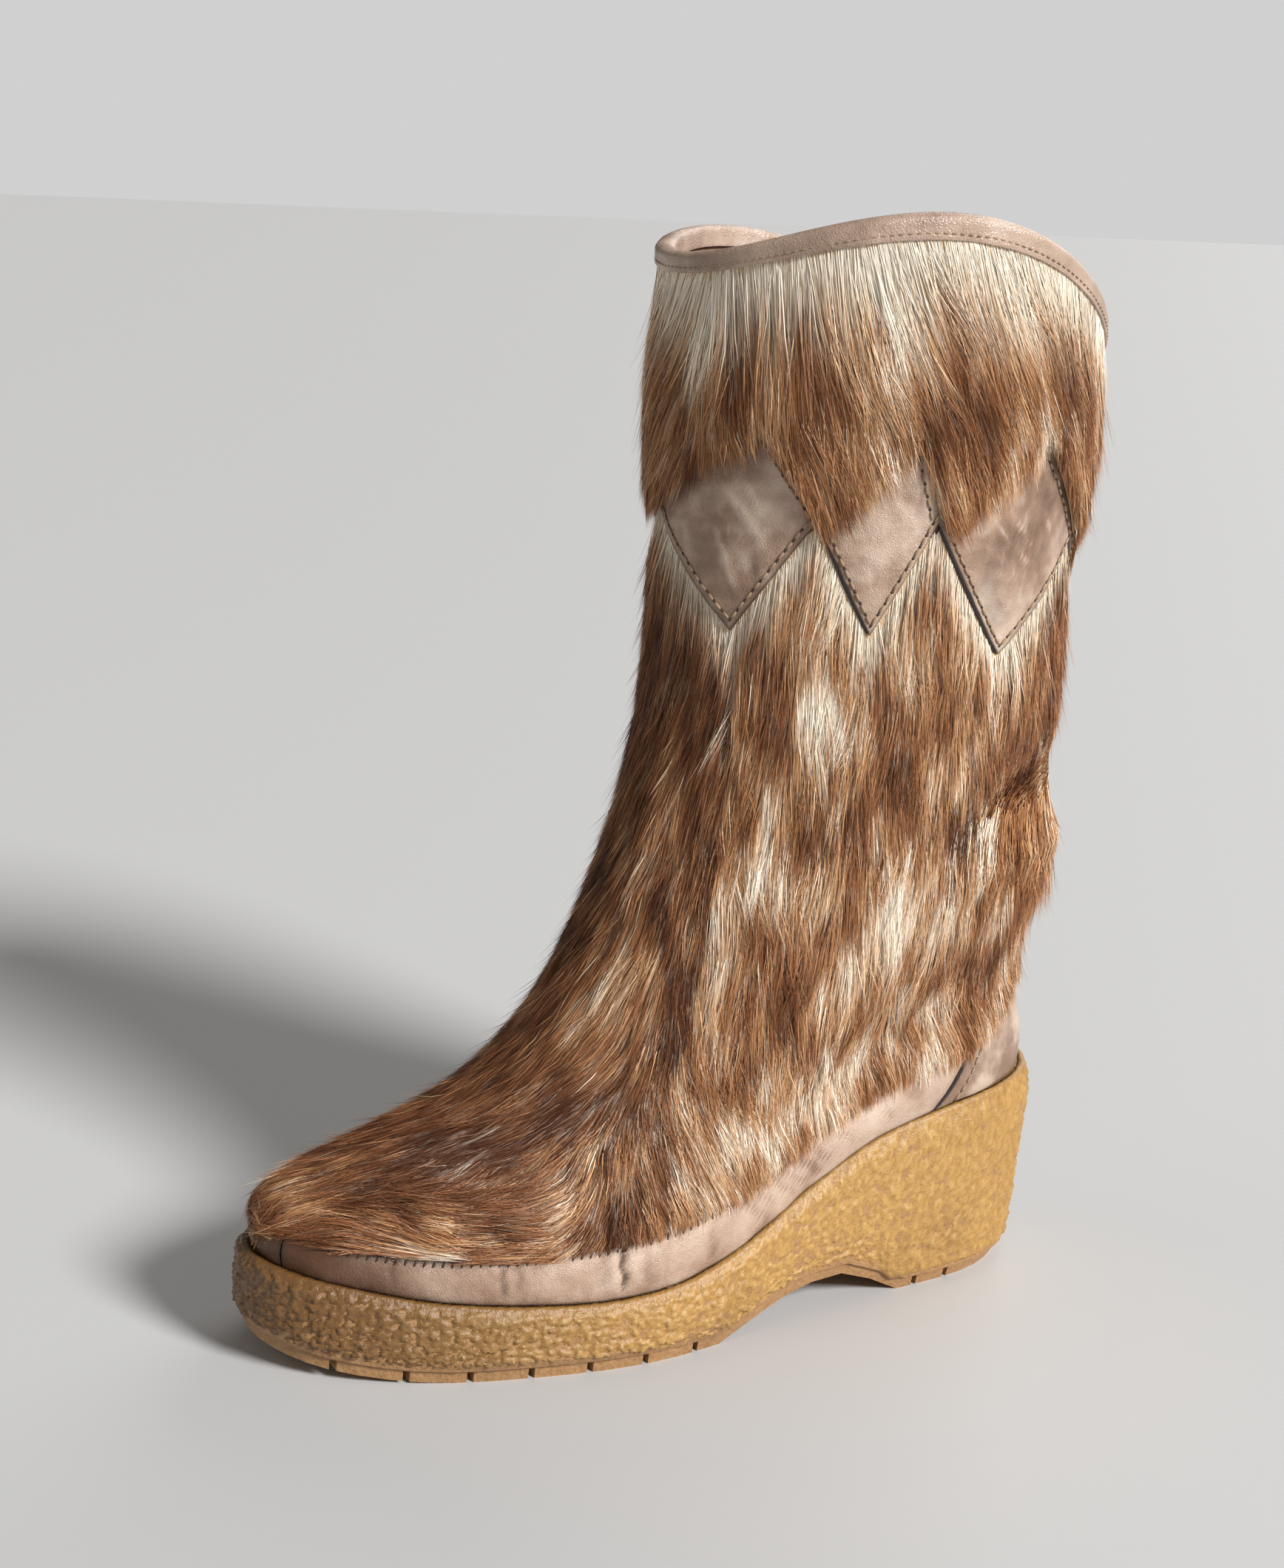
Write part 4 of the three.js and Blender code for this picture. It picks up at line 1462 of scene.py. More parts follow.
    def tone(self, u: Array, v: Array, lock: Array, draw: Draw) -> Array:
        """How pale each strand's tip is.

        Args:
            u: Angles of the tips.
            v: Heights of the tips.
            lock: Number of each strand's lock.
            draw: The random source.

        Returns:
            From 0 dark to 1 cream.
        """
        stretch, parting, parting_half, by_lock, by_strand = 0.3, 0.2, 0.04, 0.13, 0.09
        spot = LAST.point(u, v) * [1, 1, stretch]
        pale = self.pale
        for seed, strength, size in ((5, 0.05, 34), (6, 0.1, 10)):
            pale = pale + strength * Ripples(self.seed + seed, size).at(spot)
        for patch in self.patches:
            pale = pale + patch.at(u, v)
        if self.flow is not Flow.SWEPT_BACK:
            from_seam = np.abs(np.radians(wrapped(u))) / EDGES.seam(v) - 1
            line = parting * np.exp(-((from_seam / parting_half) ** 2))
            pale = pale - line * smooth_step(4.5, 6.5, v)
        pale = self.pale + self.contrast * (pale - self.pale)
        pale = pale + draw.normal(0, by_lock, self.locks)[lock]
        return np.clip(pale + draw.normal(0, by_strand, len(u)), 0, 1)

    def turnover(self, u: Array, v: Array, lock: Array, draw: Draw) -> Array:
        """Where strands turn from their root's colour to their tip's.

        Args:
            u: Angles of the roots.
            v: Heights of the roots.
            lock: Number of each strand's lock.
            draw: The random source.

        Returns:
            Shares of the strands' lengths.
        """
        usual, spread, notch_loss = 0.34, 0.07, 0.7
        reach = self.bare_reach * draw.uniform(0.5, 1.6, self.locks)[lock]
        bare = np.exp(-np.maximum(0, self.below_top(u, v)) / reach)
        share = draw.normal(usual, spread, self.count) + self.bare * bare
        return share - notch_loss * smooth_step(0.5, 5, -self.fold(u, v))

    def colours(self, pale: Array, draw: Draw) -> tuple[Array, Array]:
        """Root and tip colours of each strand.

        Args:
            pale: How pale each strand is.
            draw: The random source.

        Returns:
            Colours of the roots and of the tips.
        """
        tints = np.array(self.tints)
        tip = np.stack([np.interp(pale, self.stops, tints[:, k]) for k in range(3)], -1)
        tip = tip * draw.uniform(0.8, 1.2, pale.shape)[:, None]
        root = tints[-1] * draw.uniform(0.8, 1.03, pale.shape)[:, None]
        return root, tip

    def lock_of(self, u: Array, v: Array, centre: Array) -> Array:
        """Finds the nearest lock of each strand.

        Args:
            u: Angles of the roots.
            v: Heights of the roots.
            centre: Number of the strand in the middle of each lock.

        Returns:
            The locks' numbers.
        """
        spots = LAST.point(u, v)
        tree = KDTree(len(centre))
        for k, index in enumerate(centre):
            tree.insert(Vector(spots[index]), k)
        tree.balance()
        return np.array([tree.find(Vector(spot))[1] for spot in spots])

    def build(self) -> Piece:
        """Grows the hair.

        Returns:
            One mesh of all the strands, with their colours and a map of their own.
        """
        lock_turn, strand_turn, wave_turn, wave = 0.08, 0.06, 0.12, 24
        draw = np.random.default_rng(self.seed)
        u, v = self.hide.scatter(draw, self.count)
        centre = draw.choice(self.count, self.locks, replace=False)
        lock = self.lock_of(u, v, centre)
        stray = draw.normal(0, lock_turn, self.locks)[lock] + draw.normal(0, strand_turn, self.count)
        stray = stray + wave_turn * Ripples(self.seed + 9, wave).at(LAST.point(u, v))
        length = draw.uniform(*self.length, self.count)
        length = self.trimmed(u, v, length, stray, draw)
        path_u, path_v = self.paths(u, v, length, stray, self.steps)
        path_u, path_v = self.gather(path_u, path_v, length, centre[lock], draw)
        out = self.rise(path_u, path_v, length, lock, draw)
        pale = self.tone(path_u[:, -1], path_v[:, -1], lock, draw)
        turnover = self.turnover(u, v, lock, draw)
        piece = self.strands(path_u, path_v, out, draw)
        self.paint(piece, pale, turnover, draw)
        self.lay_out(piece)
        return piece

    def below_top(self, u: Array, v: Array) -> Array:
        """How far roots stand below the hide's upper edge, in millimetres."""
        return (self.top(u) - v) * np.linalg.norm(LAST.slopes(u, v)[1], axis=-1)

    def strands(self, u: Array, v: Array, out: Array, draw: Draw) -> Piece:
        """Makes the strands' mesh.

        Args:
            u: Angles along each strand.
            v: Heights along each strand.
            out: Distances from the last along each strand.
            draw: The random source.

        Returns:
            The mesh piece.
        """
        count, steps = u.shape
        turn = 0.8
        places = LAST.offset(u, v, out)
        normal = LAST.normal(u, v)
        ahead = np.gradient(places, axis=1)
        side = unit(np.cross(normal, ahead))
        roll = draw.uniform(-turn, turn, count)[:, None, None]
        side = side * np.cos(roll) + unit(np.cross(ahead, side)) * np.sin(roll)
        taper = np.interp(np.linspace(0, 1, steps), [0, 0.35, 0.7, 1], [0.9, 1, 0.75, 0])
        half = self.width / 2 * draw.uniform(0.6, 1.3, count)[:, None] * taper[None]
        left = places - side * half[..., None]
        right = places + side * half[..., None]
        body = np.stack([left[:, :-1], right[:, :-1]], axis=2).reshape(count, -1, 3)
        corners = np.concatenate([body, places[:, -1:]], axis=1)
        per = corners.shape[1]
        quads = [[2 * k, 2 * k + 1, 2 * k + 3, 2 * k + 2] for k in range(steps - 2)]
        shape = np.array([*quads, [2 * steps - 4, 2 * steps - 3, 2 * steps - 2, -1]])
        first = (np.arange(count) * per)[:, None, None]
        faces = np.where(shape[None] >= 0, shape[None] + first, -1).reshape(-1, 4)
        return mesh_piece(self.name, corners.reshape(-1, 3) * MM, faces)

    def paint(self, piece: Piece, pale: Array, turnover: Array, draw: Draw) -> None:
        """Colours the strands from root to tip.

        Args:
            piece: The strands' mesh.
            pale: How pale each strand is.
            turnover: Where each strand turns from its root's colour to its tip's, as a share of its length.
            draw: The random source.
        """
        root, tip = self.colours(pale, draw)
        along = np.repeat(np.linspace(0, 1, self.steps), 2)[:-1]
        turning = 0.25
        share = smooth_step(-turning, turning, along[None] - turnover[:, None])[..., None]
        colour = root[:, None] ** (1 - share) * tip[:, None] ** share
        shown = np.concatenate([colour, np.ones((*colour.shape[:2], 1))], axis=-1)
        kept = piece.data.color_attributes.new(HAIR.attribute, "FLOAT_COLOR", "POINT")
        kept.data.foreach_set("color", shown.astype(np.float32).ravel())

    def lay_out(self, piece: Piece) -> None:
        """Gives every strand a small cell of its own in a UV map of the strands.

        Args:
            piece: The strands' mesh.
        """
        per = 2 * self.steps - 1
        cells = math.ceil(math.sqrt(self.count))
        column = np.arange(self.count) % cells
        row = np.arange(self.count) // cells
        near, far = 0.15, 0.85
        across = np.tile([near, far], self.steps)[:per]
        across[-1] = 0.5
        foot, head = 0.1, 0.9
        along = np.repeat(np.linspace(foot, head, self.steps), 2)[:per]
        spot = np.stack([(column[:, None] + across) / cells, (row[:, None] + along) / cells], -1)
        index = np.empty(len(piece.data.loops), np.int32)
        piece.data.loops.foreach_get("vertex_index", index)
        layer = piece.data.uv_layers.new(name="OFBake")
        layer.data.foreach_set("uv", spot.reshape(-1, 2)[index].astype(np.float32).ravel())


def front_turn(w: Array, v: Array) -> Array:
    """Angle of a column of the front panel."""
    return w * EDGES.seam(v)


def back_turn(w: Array, v: Array) -> Array:
    """Angle of a column of the panel round the back."""
    return np.pi + w * (np.pi - EDGES.seam(v))


def straight_turn(w: Array, v: Array) -> Array:
    """Angle of a column that stands straight up the last."""
    return w + 0 * v


@dataclass
class FurUpper:
    """The hides: their skins and their hair.

    Lengths are in millimetres, angles in degrees from the toe, and cuff_tuck in sections.
    """

    front_strands: int = 64000
    outer_strands: int = 62000
    inner_strands: int = 36000
    cuff_strands: int = 64000
    skin_out: float = 0.55
    skin: float = 0.5
    skin_columns: int = 97
    panel_rows: int = 48
    cuff_rows: int = 16
    overhang_angle: Table = (8, 24, 33, 84, 92, 180)
    overhang: Table = (4.5, 3.5, 0.5, 0.5, 3.0, 3.0)
    cuff_hang_angle: Table = (49, 50)
    cuff_hang: Table = (9.0, 15.0)
    cuff_along: float = 2.0
    cuff_tuck: float = 0.03

    def shaft_overhang(self, u: Array) -> Array:
        """How far the hair hangs over the leather above the sole, by angle."""
        return np.interp(np.abs(wrapped(u)), self.overhang_angle, self.overhang)

    def cuff_overhang(self, u: Array) -> Array:
        """How far the cuff's hair hangs past its lower edge.

        Args:
            u: Angles of the places.

        Returns:
            Millimetres, more where the hair runs across the edge.
        """
        step = 0.01
        falling = EDGES.cuff(u + step) < EDGES.cuff(u - step)
        return np.where(falling, self.cuff_along, np.interp(wrapped(u), self.cuff_hang_angle, self.cuff_hang))

    def panel(self, turn: Turn) -> Hide:
        """A panel from the leather above the sole up to the band.

        Args:
            turn: A column's angle at a height.

        Returns:
            The panel.
        """
        near_sole, near_band = 2.1, 10.0
        low = partial(meets, EDGES.leather, turn, near_sole)
        high = partial(meets, EDGES.band, turn, near_band)
        return Hide(turn, low, high, EDGES.leather)

    def hides(self) -> dict[str, Hide]:
        """The outlines of the hides.

        Returns:
            The hides, by node.
        """
        top = level(EDGES.binding + self.cuff_tuck)
        return {
            "fur_front": self.panel(front_turn),
            "fur_quarters": self.panel(back_turn),
            "fur_cuff": Hide(straight_turn, EDGES.cuff, top, EDGES.cuff, (-np.pi, np.pi), True, band_floor),
        }

    def coats(self, hides: dict[str, Hide]) -> list[tuple[Coat, str]]:
        """The hair of the hides.

        Args:
            hides: The hides, by node.

        Returns:
            Each coat with the node that it stands for.
        """
        back, cuff = hides["fur_quarters"], hides["fur_cuff"]
        front_hair = Coat(
            "fur_front_hair", hides["fur_front"], Flow.FORWARD_OVER_FOOT,
            count=self.front_strands, locks=2600, seed=101, length=(16, 27), thick=3.6,
            overhang=self.shaft_overhang, top=EDGES.band, patches=FRONT_PATCHES, pale=0.31,
        )
        outer_hair = Coat(
            "fur_quarters_outer_hair", replace(back, span=(-1.0, 0.0)), Flow.STRAIGHT_DOWN,
            count=self.outer_strands, locks=2200, seed=202, length=(17, 29), thick=4.0,
            overhang=self.shaft_overhang, top=EDGES.band, patches=BACK_PATCHES,
        )
        inner_hair = replace(
            outer_hair,
            name="fur_quarters_inner_hair", hide=replace(back, span=(0.0, 1.0)), count=self.inner_strands,
            seed=203,
        )
        cuff_hair = Coat(
            "fur_cuff_hair", cuff, Flow.SWEPT_BACK,
            count=self.cuff_strands, locks=2200, seed=303, length=(22, 36), thick=4.0,
            overhang=self.cuff_overhang, top=cuff.high, patches=CUFF_PATCHES, pale=0.52, bare=0.34,
            bare_reach=6.5,
        )
        return [
            (front_hair, "fur_front"),
            (outer_hair, "fur_quarters"),
            (inner_hair, "fur_quarters"),
            (cuff_hair, "fur_cuff"),
        ]

    def dress_skin(self, name: str, hide: Hide, material: Finish) -> None:
        """Makes the skin and underhair of a hide.

        Args:
            name: The piece's name.
            hide: The hide.
            material: Its finish.
        """

        def rise(u: Array, v: Array) -> Array:
            """Distance of the skin from the last."""
            return hide.floor(v) + self.skin_out + (0 if hide.ring else ankle_fold(u, v))

        skin = Sheet(
            name,
            hide.turn,
            hide.low,
            hide.high,
            pointed_columns() if hide.ring else np.linspace(*hide.span, self.skin_columns),
            self.cuff_rows if hide.ring else self.panel_rows,
            out=0.0,
            thick=self.skin,
            ring=hide.ring,
            rounding=0,
            crease=rise,
        )
        place(skin.build(), material, "hair")

    def build(self) -> None:
        """Makes the three hides."""
        under = SKIN.material()
        hair = HAIR.material()
        hides = self.hides()
        for coat, node in self.coats(hides):
            place(coat.build(), hair, "hair", node)
        for node, hide in hides.items():
            self.dress_skin(f"{node}_skin", hide, under)


def pointed_columns() -> Array:
    """Columns all round, with one at every corner of the pointed edges.

    Returns:
        Angles in radians.
    """
    coarse, fine, clear = 3.0, 0.75, 0.45
    corners = np.array([*EDGES.band_angle[1:], *EDGES.cuff_angle[1:-1]])
    inner_side, points, back = (-180, -21, coarse), (-20, 150, fine), (152, 180, coarse)
    even = np.concatenate([np.arange(*part) for part in (inner_side, points, back)])
    far = np.abs(even[:, None] - corners[None]).min(axis=1) > clear
    return np.radians(np.unique(np.round(np.concatenate([even[far], corners]), 3)))


def uneven(u: Array, v: Array, waves: Waves) -> Array:
    """Gentle unevenness of a sheet.

    Args:
        u: Angles of the places.
        v: Heights of the places.
        waves: Seed, height and length of each set of waves.

    Returns:
        Heights in millimetres.
    """
    spot = LAST.point(u, v)
    return sum(height * Ripples(seed, size).at(spot) for seed, height, size in waves)


@dataclass(frozen=True)
class Crease:
    """A crease across the rand.

    Attributes:
        angle: Its place, in degrees from the toe.
        depth: Its depth in millimetres, below 0 for a ridge.
        spread: Its half-width, in degrees.
    """

    angle: float
    depth: float
    spread: float


@dataclass(frozen=True)
class Wrinkle:
    """A straight wrinkle of the band.

    Attributes:
        first: Angle of its first end, in degrees.
        low: Height of its first end, in sections.
        last: Angle of its other end, in degrees.
        high: Height of its other end, in sections.
        raised: Its height in millimetres, below 0 for a hollow.
        spread: Its half-width, in degrees.
    """

    first: float
    low: float
    last: float
    high: float
    raised: float
    spread: float


@dataclass
class LeatherTrim:
    """The leather over the upper: rands, counter, band, binding, and their stitches.

    Lengths are in millimetres. The field tall is how many degrees round the last are as long as one section
    up, and point_edges has the number, start and end of the points' edges that the camera looks onto.
    """

    rand_creases: tuple[Crease, ...] = (
        Crease(28, 0.3, 2.4),
        Crease(39, 0.35, 0.8),
        Crease(57, 0.6, 0.5),
        Crease(59.5, 0.35, 0.6),
        Crease(64, -0.3, 1.6),
        Crease(71.8, 0.3, 0.5),
        Crease(73.2, -0.5, 0.7),
        Crease(74.5, 1.5, 0.36),
        Crease(76, -0.4, 0.8),
        Crease(78, 0.3, 0.4),
        Crease(88, 0.3, 0.5),
        Crease(96, 0.4, 0.4),
        Crease(98.5, 0.35, 0.35),
        Crease(101, 0.4, 0.4),
        Crease(103, 0.35, 0.35),
        Crease(105.5, 0.45, 0.4),
        Crease(108, 0.35, 0.35),
        Crease(112, 0.45, 0.4),
        Crease(119, 0.4, 0.5),
    )
    wrinkles: tuple[Wrinkle, ...] = (
        Wrinkle(20, 10.62, 37, 10.24, 0.6, 1.1),
        Wrinkle(27, 10.66, 33, 10.46, 0.45, 0.9),
        Wrinkle(17, 10.4, 27, 10.02, 0.35, 1.2),
        Wrinkle(30, 10.3, 34, 9.98, -0.4, 1.3),
        Wrinkle(22, 10.16, 30, 9.9, 0.3, 0.9),
        Wrinkle(66, 10.62, 75, 10.42, 0.5, 1.1),
        Wrinkle(62, 10.28, 70, 10.12, 0.3, 1.2),
        Wrinkle(97, 10.5, 105, 10.36, 0.55, 1.0),
        Wrinkle(101, 10.56, 110, 10.42, 0.6, 1.0),
        Wrinkle(96, 10.34, 104, 10.26, 0.45, 0.9),
        Wrinkle(106, 10.34, 114, 10.24, 0.5, 1.1),
        Wrinkle(100, 10.1, 107, 9.96, 0.3, 1.0),
        Wrinkle(115, 10.62, 121, 10.46, 0.4, 1.1),
    )
    crumples: tuple[Patch, ...] = (Patch(106, 10.36, 11, 0.3, 1.0), Patch(24, 10.45, 10, 0.35, 0.5))
    tall: float = 46.0
    strip: float = 1.4
    stitch_out: float = 2.1
    # Beads of painted shade in the stitch holes sit this far out.
    hole_out: float = 1.85
    point_edges: tuple[tuple[int, float, float], ...] = ((1, 49.4, 65.0), (2, 80.8, 103.4))
    finish: Finish = field(default_factory=TAUPE.material)
    counter_finish: Finish = field(default_factory=COUNTER.material)
    rand_finish: Finish = field(default_factory=RAND.material)
    binding_finish: Finish = field(default_factory=BINDING.material)
    thread: Finish = field(default_factory=THREAD.material)
    dark_thread_and_hole_shade: Finish = field(default_factory=DARK_THREAD_AND_HOLE_SHADE.material)
    dark_edge_and_gap_shade: Finish = field(default_factory=CUT_EDGE_AND_GAP_SHADE.material)

    def rand_crease(self, u: Array, v: Array) -> Array:
        """The rand's face, with its creases.

        Args:
            u: Angles of the places.
            v: Heights of the places.

        Returns:
            Heights in millimetres.
        """
        height = uneven(u, v, ((7, 0.16, 18), (8, 0.06, 5)))
        round_at = wrapped(u)
        lean_back, lean = -3.2, -0.85
        slant = np.where(round_at > 90, lean_back, lean)
        for crease in self.rand_creases:
            wander = 0.22 * np.sin(8 * v + crease.angle)
            off = (round_at - crease.angle - slant * (v - 1) - wander) / crease.spread
            height = height - crease.depth * np.exp(-(off**2)) * smooth_step(0.25, 1.0, v)
        return height

    def slack(self, u: Array, v: Array) -> Array:
        """Gentle unevenness of the band and the counter."""
        return uneven(u, v, ((17, 0.22, 26), (18, 0.1, 7)))

    def wrinkled(self, u: Array, v: Array) -> Array:
        """The band's face, with its wrinkles and crumpled places.

        Args:
            u: Angles of the places.
            v: Heights of the places.

        Returns:
            Heights in millimetres.
        """
        height = self.slack(u, v)
        across = wrapped(u)
        up = v * self.tall
        for wrinkle in self.wrinkles:
            start = np.array([wrinkle.first, wrinkle.low * self.tall])
            run = np.array([wrinkle.last, wrinkle.high * self.tall]) - start
            share = np.clip(((across - start[0]) * run[0] + (up - start[1]) * run[1]) / (run @ run), 0, 1)
            off = np.hypot(across - start[0] - share * run[0], up - start[1] - share * run[1])
            fade = np.sin(np.pi * np.clip(share, 0.08, 0.92))
            height = height + wrinkle.raised * fade * np.exp(-((off / wrinkle.spread) ** 2))
        crumpled = sum(patch.at(u, v) for patch in self.crumples)
        seed, size, narrow, sink, raised = 19, 9, 2.2, 0.3, 0.36
        waves = np.abs(Ripples(seed, size).at(LAST.point(u, v)))
        return height + raised * crumpled * (np.maximum(0, 1 - narrow * waves) - sink)

    def sew(self, rows: tuple[Stitching, Stitching], u: Array, v: Array, raised: Array) -> None:
        """Sews stitches, and dark beads of painted shade in the holes between them, along a line.

        Args:
            rows: The stitches and the painted shade in the holes.
            u: Angles of the line's points.
            v: Heights of the line's points.
            raised: Height of the leather there.
        """
        for row, out in zip(rows, (self.stitch_out, self.hole_out)):
            row.along(u, v, out + raised)

    def finish_rows(self, rows: tuple[Stitching, Stitching]) -> None:
        """Makes the pieces of stitches and of the painted shade in the holes between them."""
        for row, finish in zip(rows, (self.thread, self.dark_thread_and_hole_shade)):
            place(row.build(), finish, TAUPE_SLOT)

    def rand(self, side: Side) -> None:
        """Makes one side's rand, from the toe seam to the counter, and its whip stitches.

        Args:
            side: The side of the foot.
        """
        toe = np.radians(EDGES.toe_seam)
        gap = np.radians(0.25)

        def turn(w: Array, v: Array) -> Array:
            """Angle of a column, leaning with the counter's front edge.

            Args:
                w: Columns, from 0 to 1.
                v: Heights.

            Returns:
                Angles in radians.
            """
            end = np.pi - EDGES.counter_half(v) - 2 * gap
            if side is Side.OUTER:
                return toe + gap + (end - toe - gap) * w
            return -end + (toe - gap + end) * w

        near_edge, below_edge, out = 2.0, 0.09, 1.95
        high = partial(meets, EDGES.rand, turn, near_edge)
        name = f"rand_{side.name.lower()}"
        leather = Sheet(
            f"{name}_leather",
            turn,
            level(EDGES.seat),
            high,
            columns=np.linspace(0, 1, 481 if side is Side.OUTER else 161),
            rows=12,
            thick=self.strip,
            rounding=0.3,
            crease=self.rand_crease,
            # Patina with painted shade round the toe.
            toe_stain_and_shade=0.95,
            # Painted highlight towards the back.
            back_highlight=0.5,
        )
        place(leather.build(), self.rand_finish, TAUPE_SLOT, name)
        whip = Stitching(f"{name}_whip_stitches", length=2.3, width=0.8, pitch=2.7, across=1.2)
        w = np.linspace(0.02, 0.97, 200)
        v = high(w) - below_edge
        whip.along(turn(w, v), v, np.full(w.shape, out))
        place(whip.build(), self.dark_thread_and_hole_shade, TAUPE_SLOT)

    def counter(self) -> None:
        """Makes the heel counter and its two rows of stitches."""

        def turn(w: Array, v: Array) -> Array:
            """Angle of a column."""
            return np.pi + w * EDGES.counter_half(np.minimum(v, EDGES.counter_back))

        leather = Sheet(
            "heel_counter_leather",
            turn,
            level(EDGES.seat),
            EDGES.counter,
            columns=np.linspace(-1, 1, 97),
            rows=24,
            thick=self.strip,
            crease=self.slack,
        )
        place(leather.build(), self.counter_finish, TAUPE_SLOT, "heel_counter")
        # The second row is dark beads of painted shade in the holes between stitches.
        rows = (
            Stitching("heel_counter_stitches", length=2.3, width=0.9, pitch=3.2),
            Stitching("heel_counter_stitch_hole_shade", length=1.2, width=0.85, pitch=3.2, shift=0.0),
        )
        near_end = 0.92
        v = np.linspace(0.25, 2.0, 30)
        for w in (-near_end, near_end):
            u = turn(np.full(v.shape, w), v)
            self.sew(rows, u, v, self.slack(u, v))
        self.finish_rows(rows)

    def band(self) -> None:
        """Makes the pointed band, with stitches inside its lower edge and beside the cuff's points."""
        leather = Sheet(
            "point_band_leather",
            straight_turn,
            EDGES.band,
            level(EDGES.band_top),
            columns=pointed_columns(),
            rows=40,
            ring=True,
            rounding=0.4,
            crease=self.wrinkled,
            relief=0.4,
        )
        place(leather.build(), self.finish, TAUPE_SLOT, "point_band")
        # The second row is dark beads of painted shade in the holes between stitches.
        rows = (
            Stitching("point_band_stitches", length=2.7, width=1.0, pitch=3.7),
            Stitching("point_band_stitch_hole_shade", length=1.3, width=0.95, pitch=3.7, shift=0.0),
        )
        in_from_edge, off_cuff, points = 0.07, 0.03, 60
        lower = np.radians(EDGES.band_angle)
        upper = np.radians(EDGES.cuff_angle)
        for first, last in zip(lower[:-1], lower[1:]):
            u = np.linspace(first, last, points)
            v = EDGES.band(u) + in_from_edge
            self.sew(rows, u, v, self.wrinkled(u, v))
        for first, last in zip(upper[2:-3:2], upper[3:-2:2]):
            u = np.linspace(first, last, points) - off_cuff
            v = EDGES.cuff(u + off_cuff) - off_cuff
            self.sew(rows, u, v, self.wrinkled(u, v))
        self.finish_rows(rows)

    def cut_edges(self) -> None:
        """Makes near-black beads along two points' edges and the counter's front ends: darkened cut edges
        with the painted shadow of the gaps beside them.
        """
        points, below, beside = 30, 0.004, 0.3
        for number, first, last in self.point_edges:
            u = np.radians(np.linspace(first, last, points))
            self.cut_edge(f"point_edge_{number}", u, EDGES.band(u) - below, out=1.15, thick=0.75)
        rise = np.linspace(EDGES.seat, EDGES.counter_front, points)
        for side in Side:
            u = np.pi - side.value * (EDGES.counter_half(rise) + np.radians(beside))
            self.cut_edge(f"counter_edge_{side.name.lower()}", u, rise, out=1.25, thick=1.0)

    def cut_edge(self, name: str, u: Array, v: Array, out: float, thick: float) -> None:
        """One near-black bead along a line on the last that runs out at both ends: a darkened cut edge with
        the painted shadow of the gap beside it.

        Args:
            name: The piece's name.
            u: Angles of the line's points.
            v: Heights of the line's points.
            out: Distance of the bead's middle from the last.
            thick: Half of the bead's width.
        """
        ends, roundness = (0.08, 0.92), 0.4
        bend = np.linspace(0, 2 * np.pi, 9)[:-1]
        line = LAST.offset(u, v, np.full(u.shape, out))
        ahead = unit(np.gradient(line, axis=0))
        up = LAST.normal(u, v)
        side = np.cross(up, ahead)
        half = (thick * np.sin(np.pi * np.linspace(*ends, len(u))) ** roundness)[:, None, None]
        round_line = up[:, None] * np.cos(bend)[None, :, None] + side[:, None] * np.sin(bend)[None, :, None]
        piece = grid_piece(name, line[:, None] + half * round_line, True)
        only(piece)
        bpy.ops.object.shade_smooth()
        place(piece, self.dark_edge_and_gap_shade, TAUPE_SLOT)

    def binding(self) -> None:
        """Makes the binding folded over the collar, with one row of stitches."""
        columns = np.linspace(0, 2 * np.pi, 161)[:-1]
        bend = np.linspace(0, np.pi, 9)
        skirt = np.linspace(EDGES.binding, LAST.top, 6)
        middle, reach, crown = -1.1, 2.95, 1.9
        flat = np.ones(columns.shape)
        places = [LAST.offset(columns, v * flat, (middle + reach) * flat) for v in skirt]
        for angle in bend[1:-1]:
            rim = LAST.offset(columns, LAST.top * flat, (middle + reach * math.cos(angle)) * flat)
            rim[:, 2] += crown * math.sin(angle)
            places.append(rim)
        places += [LAST.offset(columns, v * flat, (middle - reach) * flat) for v in skirt[::-1]]
        shape = np.stack(places)
        outward = LAST.normal(columns, EDGES.binding * flat)[None]
        seed, size, slack = 27, 9, 0.15
        shape = shape + outward * (slack * Ripples(seed, size).at(shape))[..., None]
        piece = grid_piece("collar_binding_leather", shape, True)
        thicken(piece, thick=1.2, rounding=0.25)
        place(piece, self.binding_finish, TAUPE_SLOT, "collar_binding")
        row = Stitching("collar_binding_stitches", length=1.7, width=0.5, pitch=2.5)
        in_from_edge, proud = 0.045, 0.1
        u = np.linspace(0, 2 * np.pi, 400)
        row.along(u, np.full(u.shape, EDGES.binding + in_from_edge), np.full(u.shape, middle + reach + proud))
        place(row.build(), self.thread, TAUPE_SLOT)

    def build(self) -> None:
        """Makes all the leather."""
        for side in Side:
            self.rand(side)
        self.counter()
        self.band()
        self.cut_edges()
        self.binding()


@dataclass
class Shell:
    """The hollow upper and the insole. The wall's thickness is in millimetres."""

    wall: float = 2.2
    columns: int = 96
    rows: int = 40

    def build(self) -> None:
        """Makes the upper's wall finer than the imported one, and lines it."""
        lining = LINING.material()
        upper = Sheet(
            "upper_wall",
            straight_turn,
            level(0),
            level(LAST.top),
            np.linspace(0, 2 * np.pi, self.columns + 1)[:-1],
            self.rows,
            out=0.0,
            thick=self.wall,
            ring=True,
            rounding=0,
            crease=ankle_fold,
        )
        place(upper.build(), lining, "hide", "upper")
        dress(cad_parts["insole"], lining)


@dataclass(frozen=True)
class Ring:
    """One ring of the sole's wall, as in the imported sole.

    Attributes:
        share: Height as a share of the way from the ground line to the seat.
        lift: Height added, in millimetres.
        inset: Distance in from the outline, in millimetres.
        heel_inset: The same at the back of the heel.
    """

    share: float
    lift: float
    inset: float
    heel_inset: float


